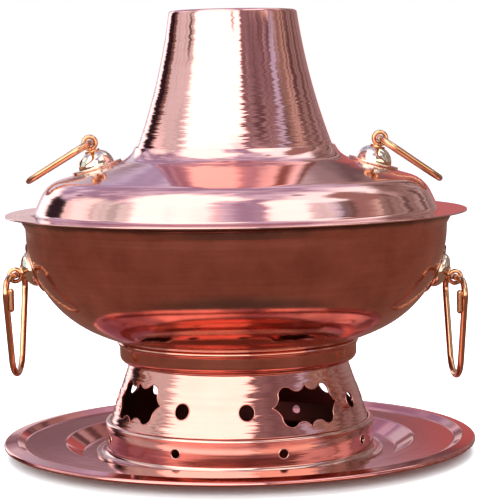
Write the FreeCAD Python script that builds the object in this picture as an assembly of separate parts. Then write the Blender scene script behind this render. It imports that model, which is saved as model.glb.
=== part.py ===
import FreeCAD, Part
import math
import os

# Chimney hot pot: a spun copper bowl brazed to a pierced stand, with a charcoal
# furnace and chimney up its middle, a domed ring lid, four ring handles and a tray.
# Millimetres, +Z up. The origin is under the middle of the tray.
# Every spun sheet is drawn as the line of its outer face, radius against height.

V = FreeCAD.Vector

# Sheet thicknesses
TRAY_SHEET = 1.5
STAND_SHEET = 1.2
FOOT_RING_SHEET = 1.4
BOWL_SHEET = 1.2
FURNACE_SHEET = 1.5
LID_SHEET = 1.2

# Clearances
BRAZE_GAP = 0.05
LIP_GAP = 0.6
COLLAR_GAP = 0.5
GRATE_GAP = 0.6
SHANK_GAP = 0.05
EYE_GAP = 0.55
TRAY_WELL_GAP = 8.3

# Tray: its well takes its size from the stand
TRAY_RADIUS = 165.0
TRAY_RIM_HEIGHT = 12.0
TRAY_BRIM_WIDTH = 8.5
TRAY_WALL_WIDTH = 7.0
TRAY_BEAD_RISE = 1.0
TRAY_SHELF_HEIGHT = 9.4
TRAY_WELL_SLOPE = 33.0
TRAY_WALL_SLOPE = 28.0
TRAY_BEND = 3.0
TRAY_BEAD_BEND = 2.4
TRAY_CURL_RADIUS = 0.4
TRAY_CURL_TURN = 100.0

# Base band, the stand's lowest ring, with its foot flange and shoulder
FLANGE_WIDTH = 6.7
BAND_STEP = 3.7
BAND_HEIGHT = 24.7
BAND_FOOT_BEND = 3.6
BAND_SHOULDER_BEND = 2.2
BAND_VENT_RADIUS = 3.4
BAND_VENT_COUNT = 8
BAND_VENT_DROP = 10.6
BAND_VENT_TURN = 17.9

# Skirt, the pierced cone of the stand
SKIRT_TOP_INSET = 9.2
SKIRT_NECK_HEIGHT = 17.5
SKIRT_SLOPE = 19.0
SKIRT_TUCK = 4.5
SKIRT_NECK_BEND = 6.0
VENT_RADIUS = 5.4
VENT_RISE = 16.1
VENT_STATIONS = 12
VENT_TURN = 3.3
WINDOW_EVERY = 3
WINDOW_HALF_WIDTH = 26.2
WINDOW_HALF_HEIGHT = 14.5
WINDOW_RISE = 18.2

# Foot ring, the collar round the joint of stand and bowl
FOOT_RING_INSET = 2.8
FOOT_RING_HEIGHT = 17.0
FOOT_RING_BEND = 5.5
FOOT_BEAD_DROP = 3.2
FOOT_BEAD_RADIUS = 1.0
FOOT_BEAD_ANGLE = 50.0

# Bowl
BOWL_BOTTOM_HEIGHT = 82.0
BOWL_HOLE_LAP = 7.5
BOWL_FLOOR_MARGIN = 3.8
BOWL_FOOT_BEND = 6.0
BOWL_FOOT_SLOPE = 19.0
BOWL_BELLY_SLOPE = 25.7
BOWL_WALL_SLOPE = 87.8
BOWL_LOWER_CURVE = 136.0
BOWL_BELLY_CURVE = 77.7
BOWL_NECK_RUN = 4.0
BOWL_FLARE_SLOPE = 60.0
BOWL_FLARE_BEND = 3.0
BOWL_FLARE_RUN = 5.0
BOWL_LIP_RUN = 0.7

# Furnace and chimney, one tube from the bowl's bottom to the open mouth
FURNACE_RADIUS = 77.5
FURNACE_FOOT_LAP = 4.5
FURNACE_FOOT_BEND = 3.0
FURNACE_SHOULDER_RISE = 4.2
FURNACE_SHOULDER_CURVE = 90.0
FURNACE_SHOULDER_TURN = 21.7
CHIMNEY_MOUTH_RADIUS = 44.5
CHIMNEY_HEIGHT = 308.5
CHIMNEY_ROLL_RADIUS = 2.4
CHIMNEY_ROLL_TURN = 80.0

# What follows from these: the bowl's floor goes round the furnace, and the stand
# carries that floor
FURNACE_FOOT_RADIUS = FURNACE_RADIUS + FURNACE_FOOT_LAP
BOWL_HOLE_RADIUS = FURNACE_RADIUS - BOWL_HOLE_LAP
BOWL_FLAT_RADIUS = FURNACE_FOOT_RADIUS + BOWL_FLOOR_MARGIN
FOOT_RING_RADIUS = BOWL_FLAT_RADIUS - FOOT_RING_INSET
FOOT_RING_BOTTOM = BOWL_BOTTOM_HEIGHT - FOOT_RING_HEIGHT
SKIRT_TOP_RADIUS = BOWL_FLAT_RADIUS - SKIRT_TOP_INSET
SKIRT_TOP_HEIGHT = BOWL_BOTTOM_HEIGHT - SKIRT_NECK_HEIGHT

# Fire grate
GRATE_THICKNESS = 4.0
GRATE_RIM = 9.0
GRATE_BAR = 6.5
GRATE_SLOT = 6.5

# Lid
LID_OVERHANG = 6.2
LID_BRIM_WIDTH = 16.4
LID_BRIM_BEND = 4.0
LID_SIDE_SLOPE = 65.0
LID_SHOULDER_RISE = 23.6
LID_SHOULDER_CURVE = 22.0
LID_TOP_SLOPE = 16.0
LID_COLLAR_SLOPE = 62.0
LID_COLLAR_CURVE = 17.0
LID_COLLAR_RISE = 44.9

# Handle hardware, the same on bowl and lid but for the boss
PLATE_RADIUS = 17.8
PLATE_THICKNESS = 1.8
BOSS_RADIUS = 12.5
BOSS_EDGE = 1.0
BOWL_BOSS_HEIGHT = 6.2
LID_BOSS_HEIGHT = 10.0
EYE_COLLAR_RADIUS = 5.4
EYE_COLLAR_HEIGHT = 1.2
EYE_WIRE_RADIUS = 1.5
EYE_SINK = 0.5
SHANK_RADIUS = 2.0
SHANK_TAIL = 5.4
NUT_RADIUS = 5.5
NUT_THICKNESS = 3.2
NUT_SIDES = 6
RING_WIRE_RADIUS = 2.25
EYE_HOLE_RADIUS = RING_WIRE_RADIUS + EYE_GAP

# Ring handles, sizes of the wire's middle line
BOWL_RING_HALF_WIDTH = 29.0
BOWL_RING_DROP = 69.0
BOWL_RING_BOTTOM_CURVE = 16.5
LID_RING_HALF_WIDTH = 22.0
LID_RING_DROP = 50.0
LID_RING_BOTTOM_CURVE = 14.0
RING_CORNER_CURVE = 10.0
RING_TOE = 7.0
RING_TAIL_LENGTH = 12.5
RING_TAIL_RADIUS = 2.0
RING_TAIL_BITE = 0.55

# Where the handles sit: the bowl wall's slope there, and how far in from the lid's
# shoulder. The pot was made by hand, so left and right differ a little.
BOWL_SEAT_SLOPE = {"left": 69.7, "right": 65.5}
LID_SEAT_INSET = 25.7
LID_RING_TILT = {"left": 31.0, "right": 34.5}


class SheetLine:
    """The outer line of a spun sheet, made of straight runs and arcs that join smoothly.

    Headings are in degrees: 0 points away from the axis and 90 points up.
    """

    def __init__(self, radius, height, heading):
        self.at = V(radius, 0, height)
        self.heading = heading
        self.pieces = []

    def direction(self, heading=None):
        angle = math.radians(self.heading if heading is None else heading)
        return V(math.cos(angle), 0, math.sin(angle))

    def left(self, heading=None):
        along = self.direction(heading)
        return V(-along.z, 0, along.x)

    def run(self, length):
        end = self.at + self.direction() * length
        self.pieces.append(("run", self.at, end, self.heading))
        self.at = end

    def run_to_radius(self, radius):
        self.run((radius - self.at.x) / self.direction().x)

    def run_to_height(self, height):
        self.run((height - self.at.z) / self.direction().z)

    def bend(self, curve, turn):
        """Turn by an angle on an arc; a positive turn goes left."""
        side = 1 if turn > 0 else -1
        centre = self.at + self.left() * (curve * side)
        start = self.heading
        self.heading = start + turn
        end = centre - self.left() * (curve * side)
        self.pieces.append(("bend", self.at, end, start, self.heading, centre, curve, side))
        self.at = end

    def bend_to(self, radius, height):
        """Follow the one arc that leaves smoothly and ends at a point."""
        chord = V(radius, 0, height) - self.at
        toward = math.degrees(math.atan2(chord.z, chord.x))
        turn = 2 * ((toward - self.heading + 180) % 360 - 180)
        self.bend(chord.Length / (2 * math.sin(math.radians(abs(turn) / 2))), turn)

    def edges(self, inward=0.0):
        """The line's edges, moved to its left by a distance."""
        made = []
        for piece in self.pieces:
            start = piece[1] + self.left(piece[3]) * inward
            if piece[0] == "run":
                end = piece[2] + self.left(piece[3]) * inward
                made.append(Part.makeLine(start, end))
                continue
            heading, last, centre, curve, side = piece[3:8]
            end = piece[2] + self.left(last) * inward
            middle = centre - self.left((heading + last) / 2) * (side * curve - inward)
            made.append(Part.Arc(start, middle, end).toShape())
        return made

    def spin(self, thickness, grow=0.0):
        """Spin the sheet round the axis: it lies to the left of its line."""
        outer = self.edges(-grow)
        inner = self.edges(thickness)
        first = Part.makeLine(outer[0].Vertexes[0].Point, inner[0].Vertexes[0].Point)
        last = Part.makeLine(outer[-1].Vertexes[-1].Point, inner[-1].Vertexes[-1].Point)
        wire = Part.Wire(Part.__sortEdges__(outer + [last] + inner + [first]))
        return solid_of(Part.Face(wire).revolve(V(0, 0, 0), V(0, 0, 1), 360))

    def at_slope(self, slope):
        """The point where the sheet stands at a slope, on the bend that passes it."""
        for piece in self.pieces:
            if piece[0] == "bend" and min(piece[3:5]) <= slope <= max(piece[3:5]):
                centre, curve, side = piece[5:8]
                return centre - self.left(slope) * (side * curve)
        raise ValueError("no bend passes the slope %.1f" % slope)

    def radius_at(self, height):
        """The radius of the line at a height, on the last piece that passes it."""
        for piece in reversed(self.pieces):
            low, high = sorted((piece[1].z, piece[2].z))
            if not low <= height <= high or high - low < 1e-6:
                continue
            if piece[0] == "run":
                share = (height - piece[1].z) / (piece[2].z - piece[1].z)
                return piece[1].x + (piece[2].x - piece[1].x) * share
            centre, curve = piece[5], piece[6]
            reach = math.sqrt(curve ** 2 - (height - centre.z) ** 2)
            outside = (piece[1].x + piece[2].x) / 2 > centre.x
            return centre.x + (reach if outside else -reach)
        raise ValueError("the line does not reach the height %.1f" % height)


def solid_of(shape):
    """One clean solid from the result of an operation."""
    solid = shape.Solids[0]
    if solid.Volume < 0:
        solid.reverse()
    return solid


def save(name, shape):
    """Write one piece, and say how many solids and what volume it has."""
    if not shape.isValid():
        raise ValueError("%s is not a valid shape" % name)
    shape.exportStep("parts/%s.step" % name)
    print("%-18s %d solid %10.1f mm3" % (name, len(shape.Solids), shape.Volume))


def tray_line():
    """Upper face of the tray: sunk well, shelf, wall, bead and curled rim."""
    line = SheetLine(0, TRAY_SHEET, 0)
    line.run_to_radius(band_radius() + FLANGE_WIDTH + TRAY_WELL_GAP)
    line.bend(TRAY_BEND, TRAY_WELL_SLOPE)
    bend_rise = TRAY_BEND * (1 - math.cos(math.radians(TRAY_WELL_SLOPE)))
    line.run_to_height(TRAY_SHELF_HEIGHT - bend_rise)
    line.bend(TRAY_BEND, -TRAY_WELL_SLOPE)
    bead_radius = TRAY_RADIUS - TRAY_BRIM_WIDTH
    line.run_to_radius(bead_radius - TRAY_WALL_WIDTH)
    line.bend(TRAY_BEND, TRAY_WALL_SLOPE)
    line.run_to_radius(bead_radius - TRAY_BEAD_BEND * math.sin(math.radians(TRAY_WALL_SLOPE)))
    bead_top = line.at.z + TRAY_BEAD_BEND * (1 - math.cos(math.radians(TRAY_WALL_SLOPE)))
    curl = TRAY_CURL_RADIUS + TRAY_SHEET
    brim = TRAY_BRIM_WIDTH - curl
    fall = math.degrees(math.atan2(max(bead_top - TRAY_RIM_HEIGHT, TRAY_BEAD_RISE), brim))
    line.bend(TRAY_BEAD_BEND, -TRAY_WALL_SLOPE - fall)
    line.run_to_radius(TRAY_RADIUS - curl * (1 + math.sin(math.radians(line.heading))))
    line.bend(curl, -TRAY_CURL_TURN)
    return line


def make_tray():
    """The tray: its sheet lies under the line, so the line is spun mirrored side out."""
    return tray_line().spin(0.0, TRAY_SHEET)


def band_radius():
    """The band's radius: its shoulder stands out from the skirt by a step."""
    return skirt_line().radius_at(BAND_HEIGHT) + BAND_STEP


def band_line():
    """Outer face of the base band, from the foot flange up to the shoulder's end."""
    floor = TRAY_SHEET + STAND_SHEET
    line = SheetLine(band_radius() + FLANGE_WIDTH, floor, 180)
    line.run_to_radius(band_radius() + BAND_FOOT_BEND)
    line.bend(BAND_FOOT_BEND, -90)
    line.run_to_height(BAND_HEIGHT - BAND_SHOULDER_BEND)
    line.bend(BAND_SHOULDER_BEND, 90)
    seat = skirt_line().radius_at(BAND_HEIGHT - STAND_SHEET)
    line.run_to_radius(seat + BRAZE_GAP)
    return line


def skirt_line():
    """Outer face of the skirt, from its tucked-in lower edge up into the foot ring."""
    drop = SKIRT_TOP_HEIGHT - BAND_HEIGHT + SKIRT_TUCK
    spread = drop * math.tan(math.radians(SKIRT_SLOPE))
    line = SheetLine(SKIRT_TOP_RADIUS + spread, SKIRT_TOP_HEIGHT - drop, 90 + SKIRT_SLOPE)
    line.run_to_height(SKIRT_TOP_HEIGHT)
    line.bend(SKIRT_NECK_BEND, -SKIRT_SLOPE)
    line.run_to_height(BOWL_BOTTOM_HEIGHT)
    return line


def station_frame(turn, height):
    """A frame at an angle from the front: X along the wall, Y up, Z out."""
    angle = math.radians(turn)
    outward = V(math.sin(angle), -math.cos(angle), 0)
    along = V(math.cos(angle), math.sin(angle), 0)
    matrix = FreeCAD.Matrix(along.x, 0, outward.x, 0, along.y, 0, outward.y, 0, 0, 1, 0, height)
    return FreeCAD.Placement(matrix)


def round_vent(radius, turn, height):
    """A round cutter that passes one side of the stand's wall."""
    start = SKIRT_TOP_RADIUS / 2
    tool = Part.makeCylinder(radius, band_radius() + FLANGE_WIDTH - start, V(0, 0, start))
    tool.Placement = station_frame(turn, height)
    return tool


def window_outline():
    """The lobed window: a pointed tip at each side, top and bottom, and four round lobes."""
    wide, high = WINDOW_HALF_WIDTH, WINDOW_HALF_HEIGHT
    quarter = [
        (0, high), (wide * 0.237, high * 0.68), (wide * 0.4, high * 0.78),
        (wide * 0.65, high * 0.873), (wide * 0.79, high * 0.43),
        (wide * 0.855, high * 0.21), (wide, 0),
    ]
    edges = []
    for mirror_x, mirror_y in ((1, 1), (1, -1), (-1, -1), (-1, 1)):
        points = [V(x * mirror_x, y * mirror_y, 0) for x, y in quarter]
        for start in (0, 2, 4):
            edges.append(Part.Arc(*points[start:start + 3]).toShape())
    return Part.Face(Part.Wire(Part.__sortEdges__(edges)))


def window_cutter(turn):
    """The window's outline pushed out through one side of the skirt."""
    face = window_outline()
    start = SKIRT_TOP_RADIUS / 2
    face.translate(V(0, 0, start))
    tool = face.extrude(V(0, 0, band_radius() + FLANGE_WIDTH - start))
    tool.Placement = station_frame(turn, BAND_HEIGHT + WINDOW_RISE)
    return tool


def make_band():
    """The base band with its ring of small air holes."""
    band = band_line().spin(STAND_SHEET)
    step = 360 / BAND_VENT_COUNT
    turns = [BAND_VENT_TURN + step * number for number in range(BAND_VENT_COUNT)]
    height = BAND_HEIGHT - BAND_VENT_DROP
    return solid_of(band.cut([round_vent(BAND_VENT_RADIUS, turn, height) for turn in turns]))


def make_skirt():
    """The skirt: every third station is a lobed window and the others are round vents."""
    skirt = skirt_line().spin(STAND_SHEET)
    step = 360 / VENT_STATIONS
    cutters = []
    for number in range(VENT_STATIONS):
        turn = VENT_TURN + step * number
        if number % WINDOW_EVERY == 1:
            cutters.append(window_cutter(turn))
        else:
            cutters.append(round_vent(VENT_RADIUS, turn, BAND_HEIGHT + VENT_RISE))
    return solid_of(skirt.cut(cutters))


def make_foot_ring():
    """The collar that hides the joint of stand and bowl, with a bead near its top."""
    lip = skirt_line().radius_at(FOOT_RING_BOTTOM) + LIP_GAP
    line = SheetLine(lip, FOOT_RING_BOTTOM, 0)
    line.run_to_radius(FOOT_RING_RADIUS - FOOT_RING_BEND)
    line.bend(FOOT_RING_BEND, 90)
    crest = FOOT_BEAD_RADIUS + FOOT_RING_SHEET
    bead_half = (FOOT_BEAD_RADIUS + crest) * math.sin(math.radians(FOOT_BEAD_ANGLE))
    line.run_to_height(BOWL_BOTTOM_HEIGHT - FOOT_BEAD_DROP - bead_half)
    line.bend(FOOT_BEAD_RADIUS, -FOOT_BEAD_ANGLE)
    line.bend(crest, 2 * FOOT_BEAD_ANGLE)
    line.bend(FOOT_BEAD_RADIUS, -FOOT_BEAD_ANGLE)
    line.run_to_height(BOWL_BOTTOM_HEIGHT)
    return line.spin(FOOT_RING_SHEET)


def bowl_line():
    """Outer face of the bowl, from its middle hole up the wall to the lip."""
    line = SheetLine(BOWL_HOLE_RADIUS, BOWL_BOTTOM_HEIGHT, 0)
    line.run_to_radius(BOWL_FLAT_RADIUS)
    line.bend(BOWL_FOOT_BEND, BOWL_FOOT_SLOPE)
    line.bend(BOWL_LOWER_CURVE, BOWL_BELLY_SLOPE - BOWL_FOOT_SLOPE)
    line.bend(BOWL_BELLY_CURVE, BOWL_WALL_SLOPE - BOWL_BELLY_SLOPE)
    line.run(BOWL_NECK_RUN)
    line.bend(BOWL_FLARE_BEND, BOWL_FLARE_SLOPE - BOWL_WALL_SLOPE)
    line.run(BOWL_FLARE_RUN)
    line.bend(BOWL_FLARE_BEND + BOWL_SHEET, -BOWL_FLARE_SLOPE)
    line.run(BOWL_LIP_RUN)
    return line


def lip_top():
    """The height of the bowl's lip, on which the lid rests."""
    return bowl_line().at.z + BOWL_SHEET


def furnace_line():
    """Outer face of the furnace and chimney, from the foot flange to the rolled mouth."""
    floor = BOWL_BOTTOM_HEIGHT + BOWL_SHEET
    line = SheetLine(FURNACE_FOOT_RADIUS, floor + FURNACE_SHEET, 180)
    line.run_to_radius(FURNACE_RADIUS + FURNACE_FOOT_BEND)
    line.bend(FURNACE_FOOT_BEND, -90)
    line.run_to_height(lip_top() + FURNACE_SHOULDER_RISE)
    line.bend(FURNACE_SHOULDER_CURVE, FURNACE_SHOULDER_TURN)
    line.bend_to(CHIMNEY_MOUTH_RADIUS, CHIMNEY_HEIGHT - CHIMNEY_ROLL_RADIUS)
    line.bend(CHIMNEY_ROLL_RADIUS, CHIMNEY_ROLL_TURN)
    return line


def make_grate():
    """The fire grate: a round cast plate with long slots between its bars."""
    radius = FURNACE_RADIUS - FURNACE_SHEET - GRATE_GAP
    floor = BOWL_BOTTOM_HEIGHT + BOWL_SHEET
    plate = Part.makeCylinder(radius, GRATE_THICKNESS, V(0, 0, floor))
    reach = radius - GRATE_RIM
    pitch = GRATE_SLOT + GRATE_BAR
    each_side = int((reach - GRATE_SLOT) // pitch)
    slots = []
    for number in range(-each_side, each_side + 1):
        x = number * pitch
        half = math.sqrt(reach ** 2 - (abs(x) + GRATE_SLOT / 2) ** 2)
        corner = V(x - GRATE_SLOT / 2, -half, floor)
        slots.append(Part.makeBox(GRATE_SLOT, 2 * half, GRATE_THICKNESS, corner))
    return solid_of(plate.cut(slots))


def lid_line():
    """Outer face of the lid, from the brim's edge up over the shoulder to the collar."""
    brim = lip_top() + LID_SHEET
    line = SheetLine(bowl_line().at.x + LID_OVERHANG, brim, 180)
    line.run(LID_BRIM_WIDTH)
    line.bend(LID_BRIM_BEND, -LID_SIDE_SLOPE)
    turn = math.radians(LID_SIDE_SLOPE)
    top = math.radians(LID_TOP_SLOPE)
    line.run_to_height(brim + LID_SHOULDER_RISE - LID_SHOULDER_CURVE * (math.cos(top) - math.cos(turn)))
    line.bend(LID_SHOULDER_CURVE, LID_SIDE_SLOPE - LID_TOP_SLOPE)
    collar = brim + LID_COLLAR_RISE
    inner = furnace_line().radius_at(collar) + COLLAR_GAP
    rise = math.radians(LID_COLLAR_SLOPE)
    edge = inner + LID_SHEET / math.sin(rise)
    bend_reach = LID_COLLAR_CURVE * (math.sin(rise) - math.sin(top))
    bend_rise = LID_COLLAR_CURVE * (math.cos(top) - math.cos(rise))
    run_rise = collar - line.at.z - bend_rise
    span = line.at.x - edge - bend_reach
    slope_run = (span - run_rise / math.tan(rise)) / (math.cos(top) - math.sin(top) / math.tan(rise))
    line.run(slope_run)
    line.bend(LID_COLLAR_CURVE, LID_TOP_SLOPE - LID_COLLAR_SLOPE)
    line.run_to_height(collar)
    return line


def seat_frame(point, normal):
    """A frame on a sheet: Z out of the sheet, Y along the pot's own Y."""
    sideways = V(0, 1, 0).cross(normal)
    matrix = FreeCAD.Matrix(
        sideways.x, 0, normal.x, point.x,
        sideways.y, 1, normal.y, point.y,
        sideways.z, 0, normal.z, point.z)
    return FreeCAD.Placement(matrix)


def bowl_seat(side):
    """Where a bowl handle's axis leaves the wall, with the wall's normal."""
    slope = BOWL_SEAT_SLOPE[side]
    hand = 1 if side == "right" else -1
    point = bowl_line().at_slope(slope)
    angle = math.radians(slope)
    return V(hand * point.x, 0, point.z), V(hand * math.sin(angle), 0, -math.cos(angle))


def lid_seat(side):
    """Where a lid handle's axis leaves the lid's upper cone, with its normal."""
    hand = 1 if side == "right" else -1
    angle = math.radians(LID_TOP_SLOPE)
    foot = lid_shoulder_top()
    height = foot.z + LID_SEAT_INSET * math.tan(angle)
    return V(hand * (foot.x - LID_SEAT_INSET), 0, height), V(hand * math.sin(angle), 0, math.cos(angle))


def lid_shoulder_top():
    """The point where the lid's shoulder bend meets its upper cone."""
    return lid_line().pieces[3][2]


def eye_height(boss_height):
    """The eye's centre, out from the sheet."""
    collar_top = PLATE_THICKNESS + boss_height + EYE_COLLAR_HEIGHT
    return collar_top + EYE_HOLE_RADIUS + 2 * EYE_WIRE_RADIUS - EYE_SINK


def shank_hole(frame):
    """A cutter for the hole that lets a shank through a sheet."""
    tool = Part.makeCylinder(SHANK_RADIUS + SHANK_GAP, 2 * SHANK_TAIL, V(0, 0, -SHANK_TAIL))
    tool.Placement = frame
    return tool


def make_plate(line, frame):
    """The round plate under a boss, dished to lie flat on the sheet."""
    skin = line.spin(0.0, PLATE_THICKNESS)
    blank = Part.makeCylinder(PLATE_RADIUS, 4 * PLATE_THICKNESS, V(0, 0, -2 * PLATE_THICKNESS))
    blank.Placement = frame
    return solid_of(solid_of(blank.common(skin)).cut(shank_hole(frame)))


def make_boss(frame, height, line):
    """The domed boss on its plate, with a flat top for the eye's collar."""
    base = PLATE_THICKNESS
    top = base + height
    rim = V(BOSS_RADIUS, 0, base + BOSS_EDGE)
    crown = V(EYE_COLLAR_RADIUS, 0, top)
    swell = V((BOSS_RADIUS + EYE_COLLAR_RADIUS) / 2 + height * 0.13, 0, base + BOSS_EDGE + height * 0.56)
    bore = SHANK_RADIUS + SHANK_GAP
    foot = -BOSS_EDGE
    outline = [
        Part.makeLine(V(bore, 0, foot), V(BOSS_RADIUS, 0, foot)),
        Part.makeLine(V(BOSS_RADIUS, 0, foot), rim),
        Part.Arc(rim, swell, crown).toShape(),
        Part.makeLine(crown, V(bore, 0, top)),
        Part.makeLine(V(bore, 0, top), V(bore, 0, foot)),
    ]
    boss = solid_of(Part.Face(Part.Wire(outline)).revolve(V(0, 0, 0), V(0, 0, 1), 360))
    boss.Placement = frame
    return solid_of(boss.cut(line.spin(2 * BOSS_EDGE, PLATE_THICKNESS)))


def make_eye(frame, boss_height, sheet):
    """The eye bolt: eye, collar and a shank through boss, plate and sheet."""
    centre = eye_height(boss_height)
    collar_base = PLATE_THICKNESS + boss_height
    loop = Part.makeTorus(EYE_HOLE_RADIUS + EYE_WIRE_RADIUS, EYE_WIRE_RADIUS, V(0, 0, centre), V(0, 1, 0))
    collar = Part.makeCylinder(EYE_COLLAR_RADIUS, EYE_COLLAR_HEIGHT, V(0, 0, collar_base))
    length = collar_base + sheet + SHANK_TAIL
    shank = Part.makeCylinder(SHANK_RADIUS, length, V(0, 0, collar_base - length))
    eye = loop.fuse([collar, shank]).removeSplitter()
    eye.Placement = frame
    return solid_of(eye)


def make_nut(frame, sheet, line):
    """The six-sided nut inside, its face cut to the sheet it pulls against."""
    corners = [
        V(NUT_RADIUS * math.cos(math.tau * n / NUT_SIDES), NUT_RADIUS * math.sin(math.tau * n / NUT_SIDES), 0)
        for n in range(NUT_SIDES + 1)
    ]
    nut = Part.Face(Part.makePolygon(corners)).extrude(V(0, 0, NUT_THICKNESS))
    nut = nut.cut(Part.makeCylinder(SHANK_RADIUS + SHANK_GAP, NUT_THICKNESS))
    nut.translate(V(0, 0, -sheet - NUT_THICKNESS))
    nut.Placement = frame.multiply(nut.Placement)
    return solid_of(nut.cut(line.spin(sheet, 0.0)))


def ring_middle(half_width, drop, bottom_curve):
    """A closed drop-shaped loop: X along the bar through the eye, Y down the ring."""
    corner = RING_CORNER_CURVE
    top_centre = V(half_width - corner, corner, 0)
    low_centre = V(0, drop - bottom_curve, 0)
    between = low_centre - top_centre
    lean = math.atan2(between.y, between.x)
    normal = lean - math.acos((corner - bottom_curve) / between.Length)
    out = V(math.cos(normal), math.sin(normal), 0)
    points = {
        "bar": V(half_width - corner, 0, 0),
        "corner": top_centre + (V(0, -1, 0) + out).normalize() * corner,
        "side_top": top_centre + out * corner,
        "side_low": low_centre + out * bottom_curve,
    }
    mirrored = {name: V(-point.x, point.y, 0) for name, point in points.items()}
    foot = V(0, drop, 0)
    start = V(0, 0, 0)
    right = [
        Part.makeLine(start, points["bar"]),
        Part.Arc(points["bar"], points["corner"], points["side_top"]).toShape(),
        Part.makeLine(points["side_top"], points["side_low"]),
    ]
    bottom = [Part.Arc(points["side_low"], foot, mirrored["side_low"]).toShape()]
    left = [
        Part.makeLine(mirrored["side_low"], mirrored["side_top"]),
        Part.Arc(mirrored["side_top"], mirrored["corner"], mirrored["bar"]).toShape(),
        Part.makeLine(mirrored["bar"], start),
    ]
    return Part.Wire(right + bottom + left)


def make_ring(eye, bar, hang, half_width, drop, bottom_curve):
    """A ring handle of round wire, hung from an eye."""
    section = Part.Wire(Part.makeCircle(RING_WIRE_RADIUS, V(0, 0, 0), V(1, 0, 0)))
    ring = ring_middle(half_width, drop, bottom_curve).makePipeShell([section], True, False)
    across = bar.cross(hang)
    matrix = FreeCAD.Matrix(
        bar.x, hang.x, across.x, eye.x,
        bar.y, hang.y, across.y, eye.y,
        bar.z, hang.z, across.z, eye.z)
    ring.Placement = FreeCAD.Placement(matrix)
    return solid_of(ring)


def ring_tail(eye, bar, inward):
    """The ring wire's end, lapped beside the near strand and brazed to it."""
    offset = RING_WIRE_RADIUS + RING_TAIL_RADIUS - RING_TAIL_BITE
    near = eye - bar * BOWL_RING_HALF_WIDTH + inward * offset
    top = near - V(0, 0, RING_CORNER_CURVE - RING_TAIL_RADIUS)
    tail = Part.makeCylinder(RING_TAIL_RADIUS, RING_TAIL_LENGTH, top, V(0, 0, -1))
    round_end = Part.makeSphere(RING_TAIL_RADIUS, top - V(0, 0, RING_TAIL_LENGTH))
    round_top = Part.makeSphere(RING_TAIL_RADIUS, top)
    return tail.fuse([round_end, round_top])


def bowl_ring_axis(side):
    """The direction of a bowl ring's bar: it hangs a little toed, near side out."""
    hand = 1 if side == "right" else -1
    toe = math.radians(RING_TOE)
    return V(-hand * math.sin(toe), math.cos(toe), 0)


def make_bowl_ring(side):
    """A bowl ring, hanging straight down from its eye."""
    point, normal = bowl_seat(side)
    eye = point + normal * eye_height(BOWL_BOSS_HEIGHT)
    bar = bowl_ring_axis(side)
    hand = 1 if side == "right" else -1
    ring = make_ring(eye, bar, V(0, 0, -1), BOWL_RING_HALF_WIDTH, BOWL_RING_DROP, BOWL_RING_BOTTOM_CURVE)
    inward = V(-hand, 0, 0)
    return solid_of(ring.fuse(ring_tail(eye, bar, inward)).removeSplitter())


def make_lid_ring(side):
    """A lid ring, leaning out and down over the dome."""
    point, normal = lid_seat(side)
    hand = 1 if side == "right" else -1
    eye = point + normal * eye_height(LID_BOSS_HEIGHT)
    tilt = math.radians(LID_RING_TILT[side])
    hang = V(hand * math.cos(tilt), 0, -math.sin(tilt))
    return make_ring(eye, V(0, 1, 0), hang, LID_RING_HALF_WIDTH, LID_RING_DROP, LID_RING_BOTTOM_CURVE)


def save_handle(name, seat, line, sheet, boss_height):
    """Write the plate, boss, eye and nut of one handle; return its shank hole."""
    frame = seat_frame(*seat)
    save(name + "_plate", make_plate(line, frame))
    save(name + "_boss", make_boss(frame, boss_height, line))
    save(name + "_eye", make_eye(frame, boss_height, sheet))
    save(name + "_nut", make_nut(frame, sheet, line))
    return shank_hole(frame)


def main():
    os.makedirs("parts", exist_ok=True)
    save("tray", make_tray())
    save("base_band", make_band())
    save("stand_skirt", make_skirt())
    save("foot_ring", make_foot_ring())
    save("furnace_chimney", furnace_line().spin(FURNACE_SHEET))
    save("fire_grate", make_grate())
    bowl_holes = []
    lid_holes = []
    for side in ("left", "right"):
        bowl_holes.append(save_handle(
            "bowl_%s" % side, bowl_seat(side), bowl_line(), BOWL_SHEET, BOWL_BOSS_HEIGHT))
        lid_holes.append(save_handle(
            "lid_%s" % side, lid_seat(side), lid_line(), LID_SHEET, LID_BOSS_HEIGHT))
        save("bowl_%s_ring" % side, make_bowl_ring(side))
        save("lid_%s_ring" % side, make_lid_ring(side))
    save("bowl", solid_of(bowl_line().spin(BOWL_SHEET).cut(bowl_holes)))
    save("lid", solid_of(lid_line().spin(LID_SHEET).cut(lid_holes)))


main()
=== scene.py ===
"""Looks of the chimney hot pot: a spun copper bowl on a pierced stand and a tray.

The CAD frame says where each piece is. This script remakes the spun sheets, the
handle hardware and the ring wires as fine meshes in the same places, gives each a
procedural finish, and sets the photograph's camera, a pale floor and studio light.
All lengths are in metres, in the frame of the part.
"""

import sys
import logging
import math
from dataclasses import dataclass, field, replace
from enum import Enum
from typing import ClassVar

import bmesh
import bpy
from mathutils import Matrix, Vector
from mathutils.geometry import delaunay_2d_cdt


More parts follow.
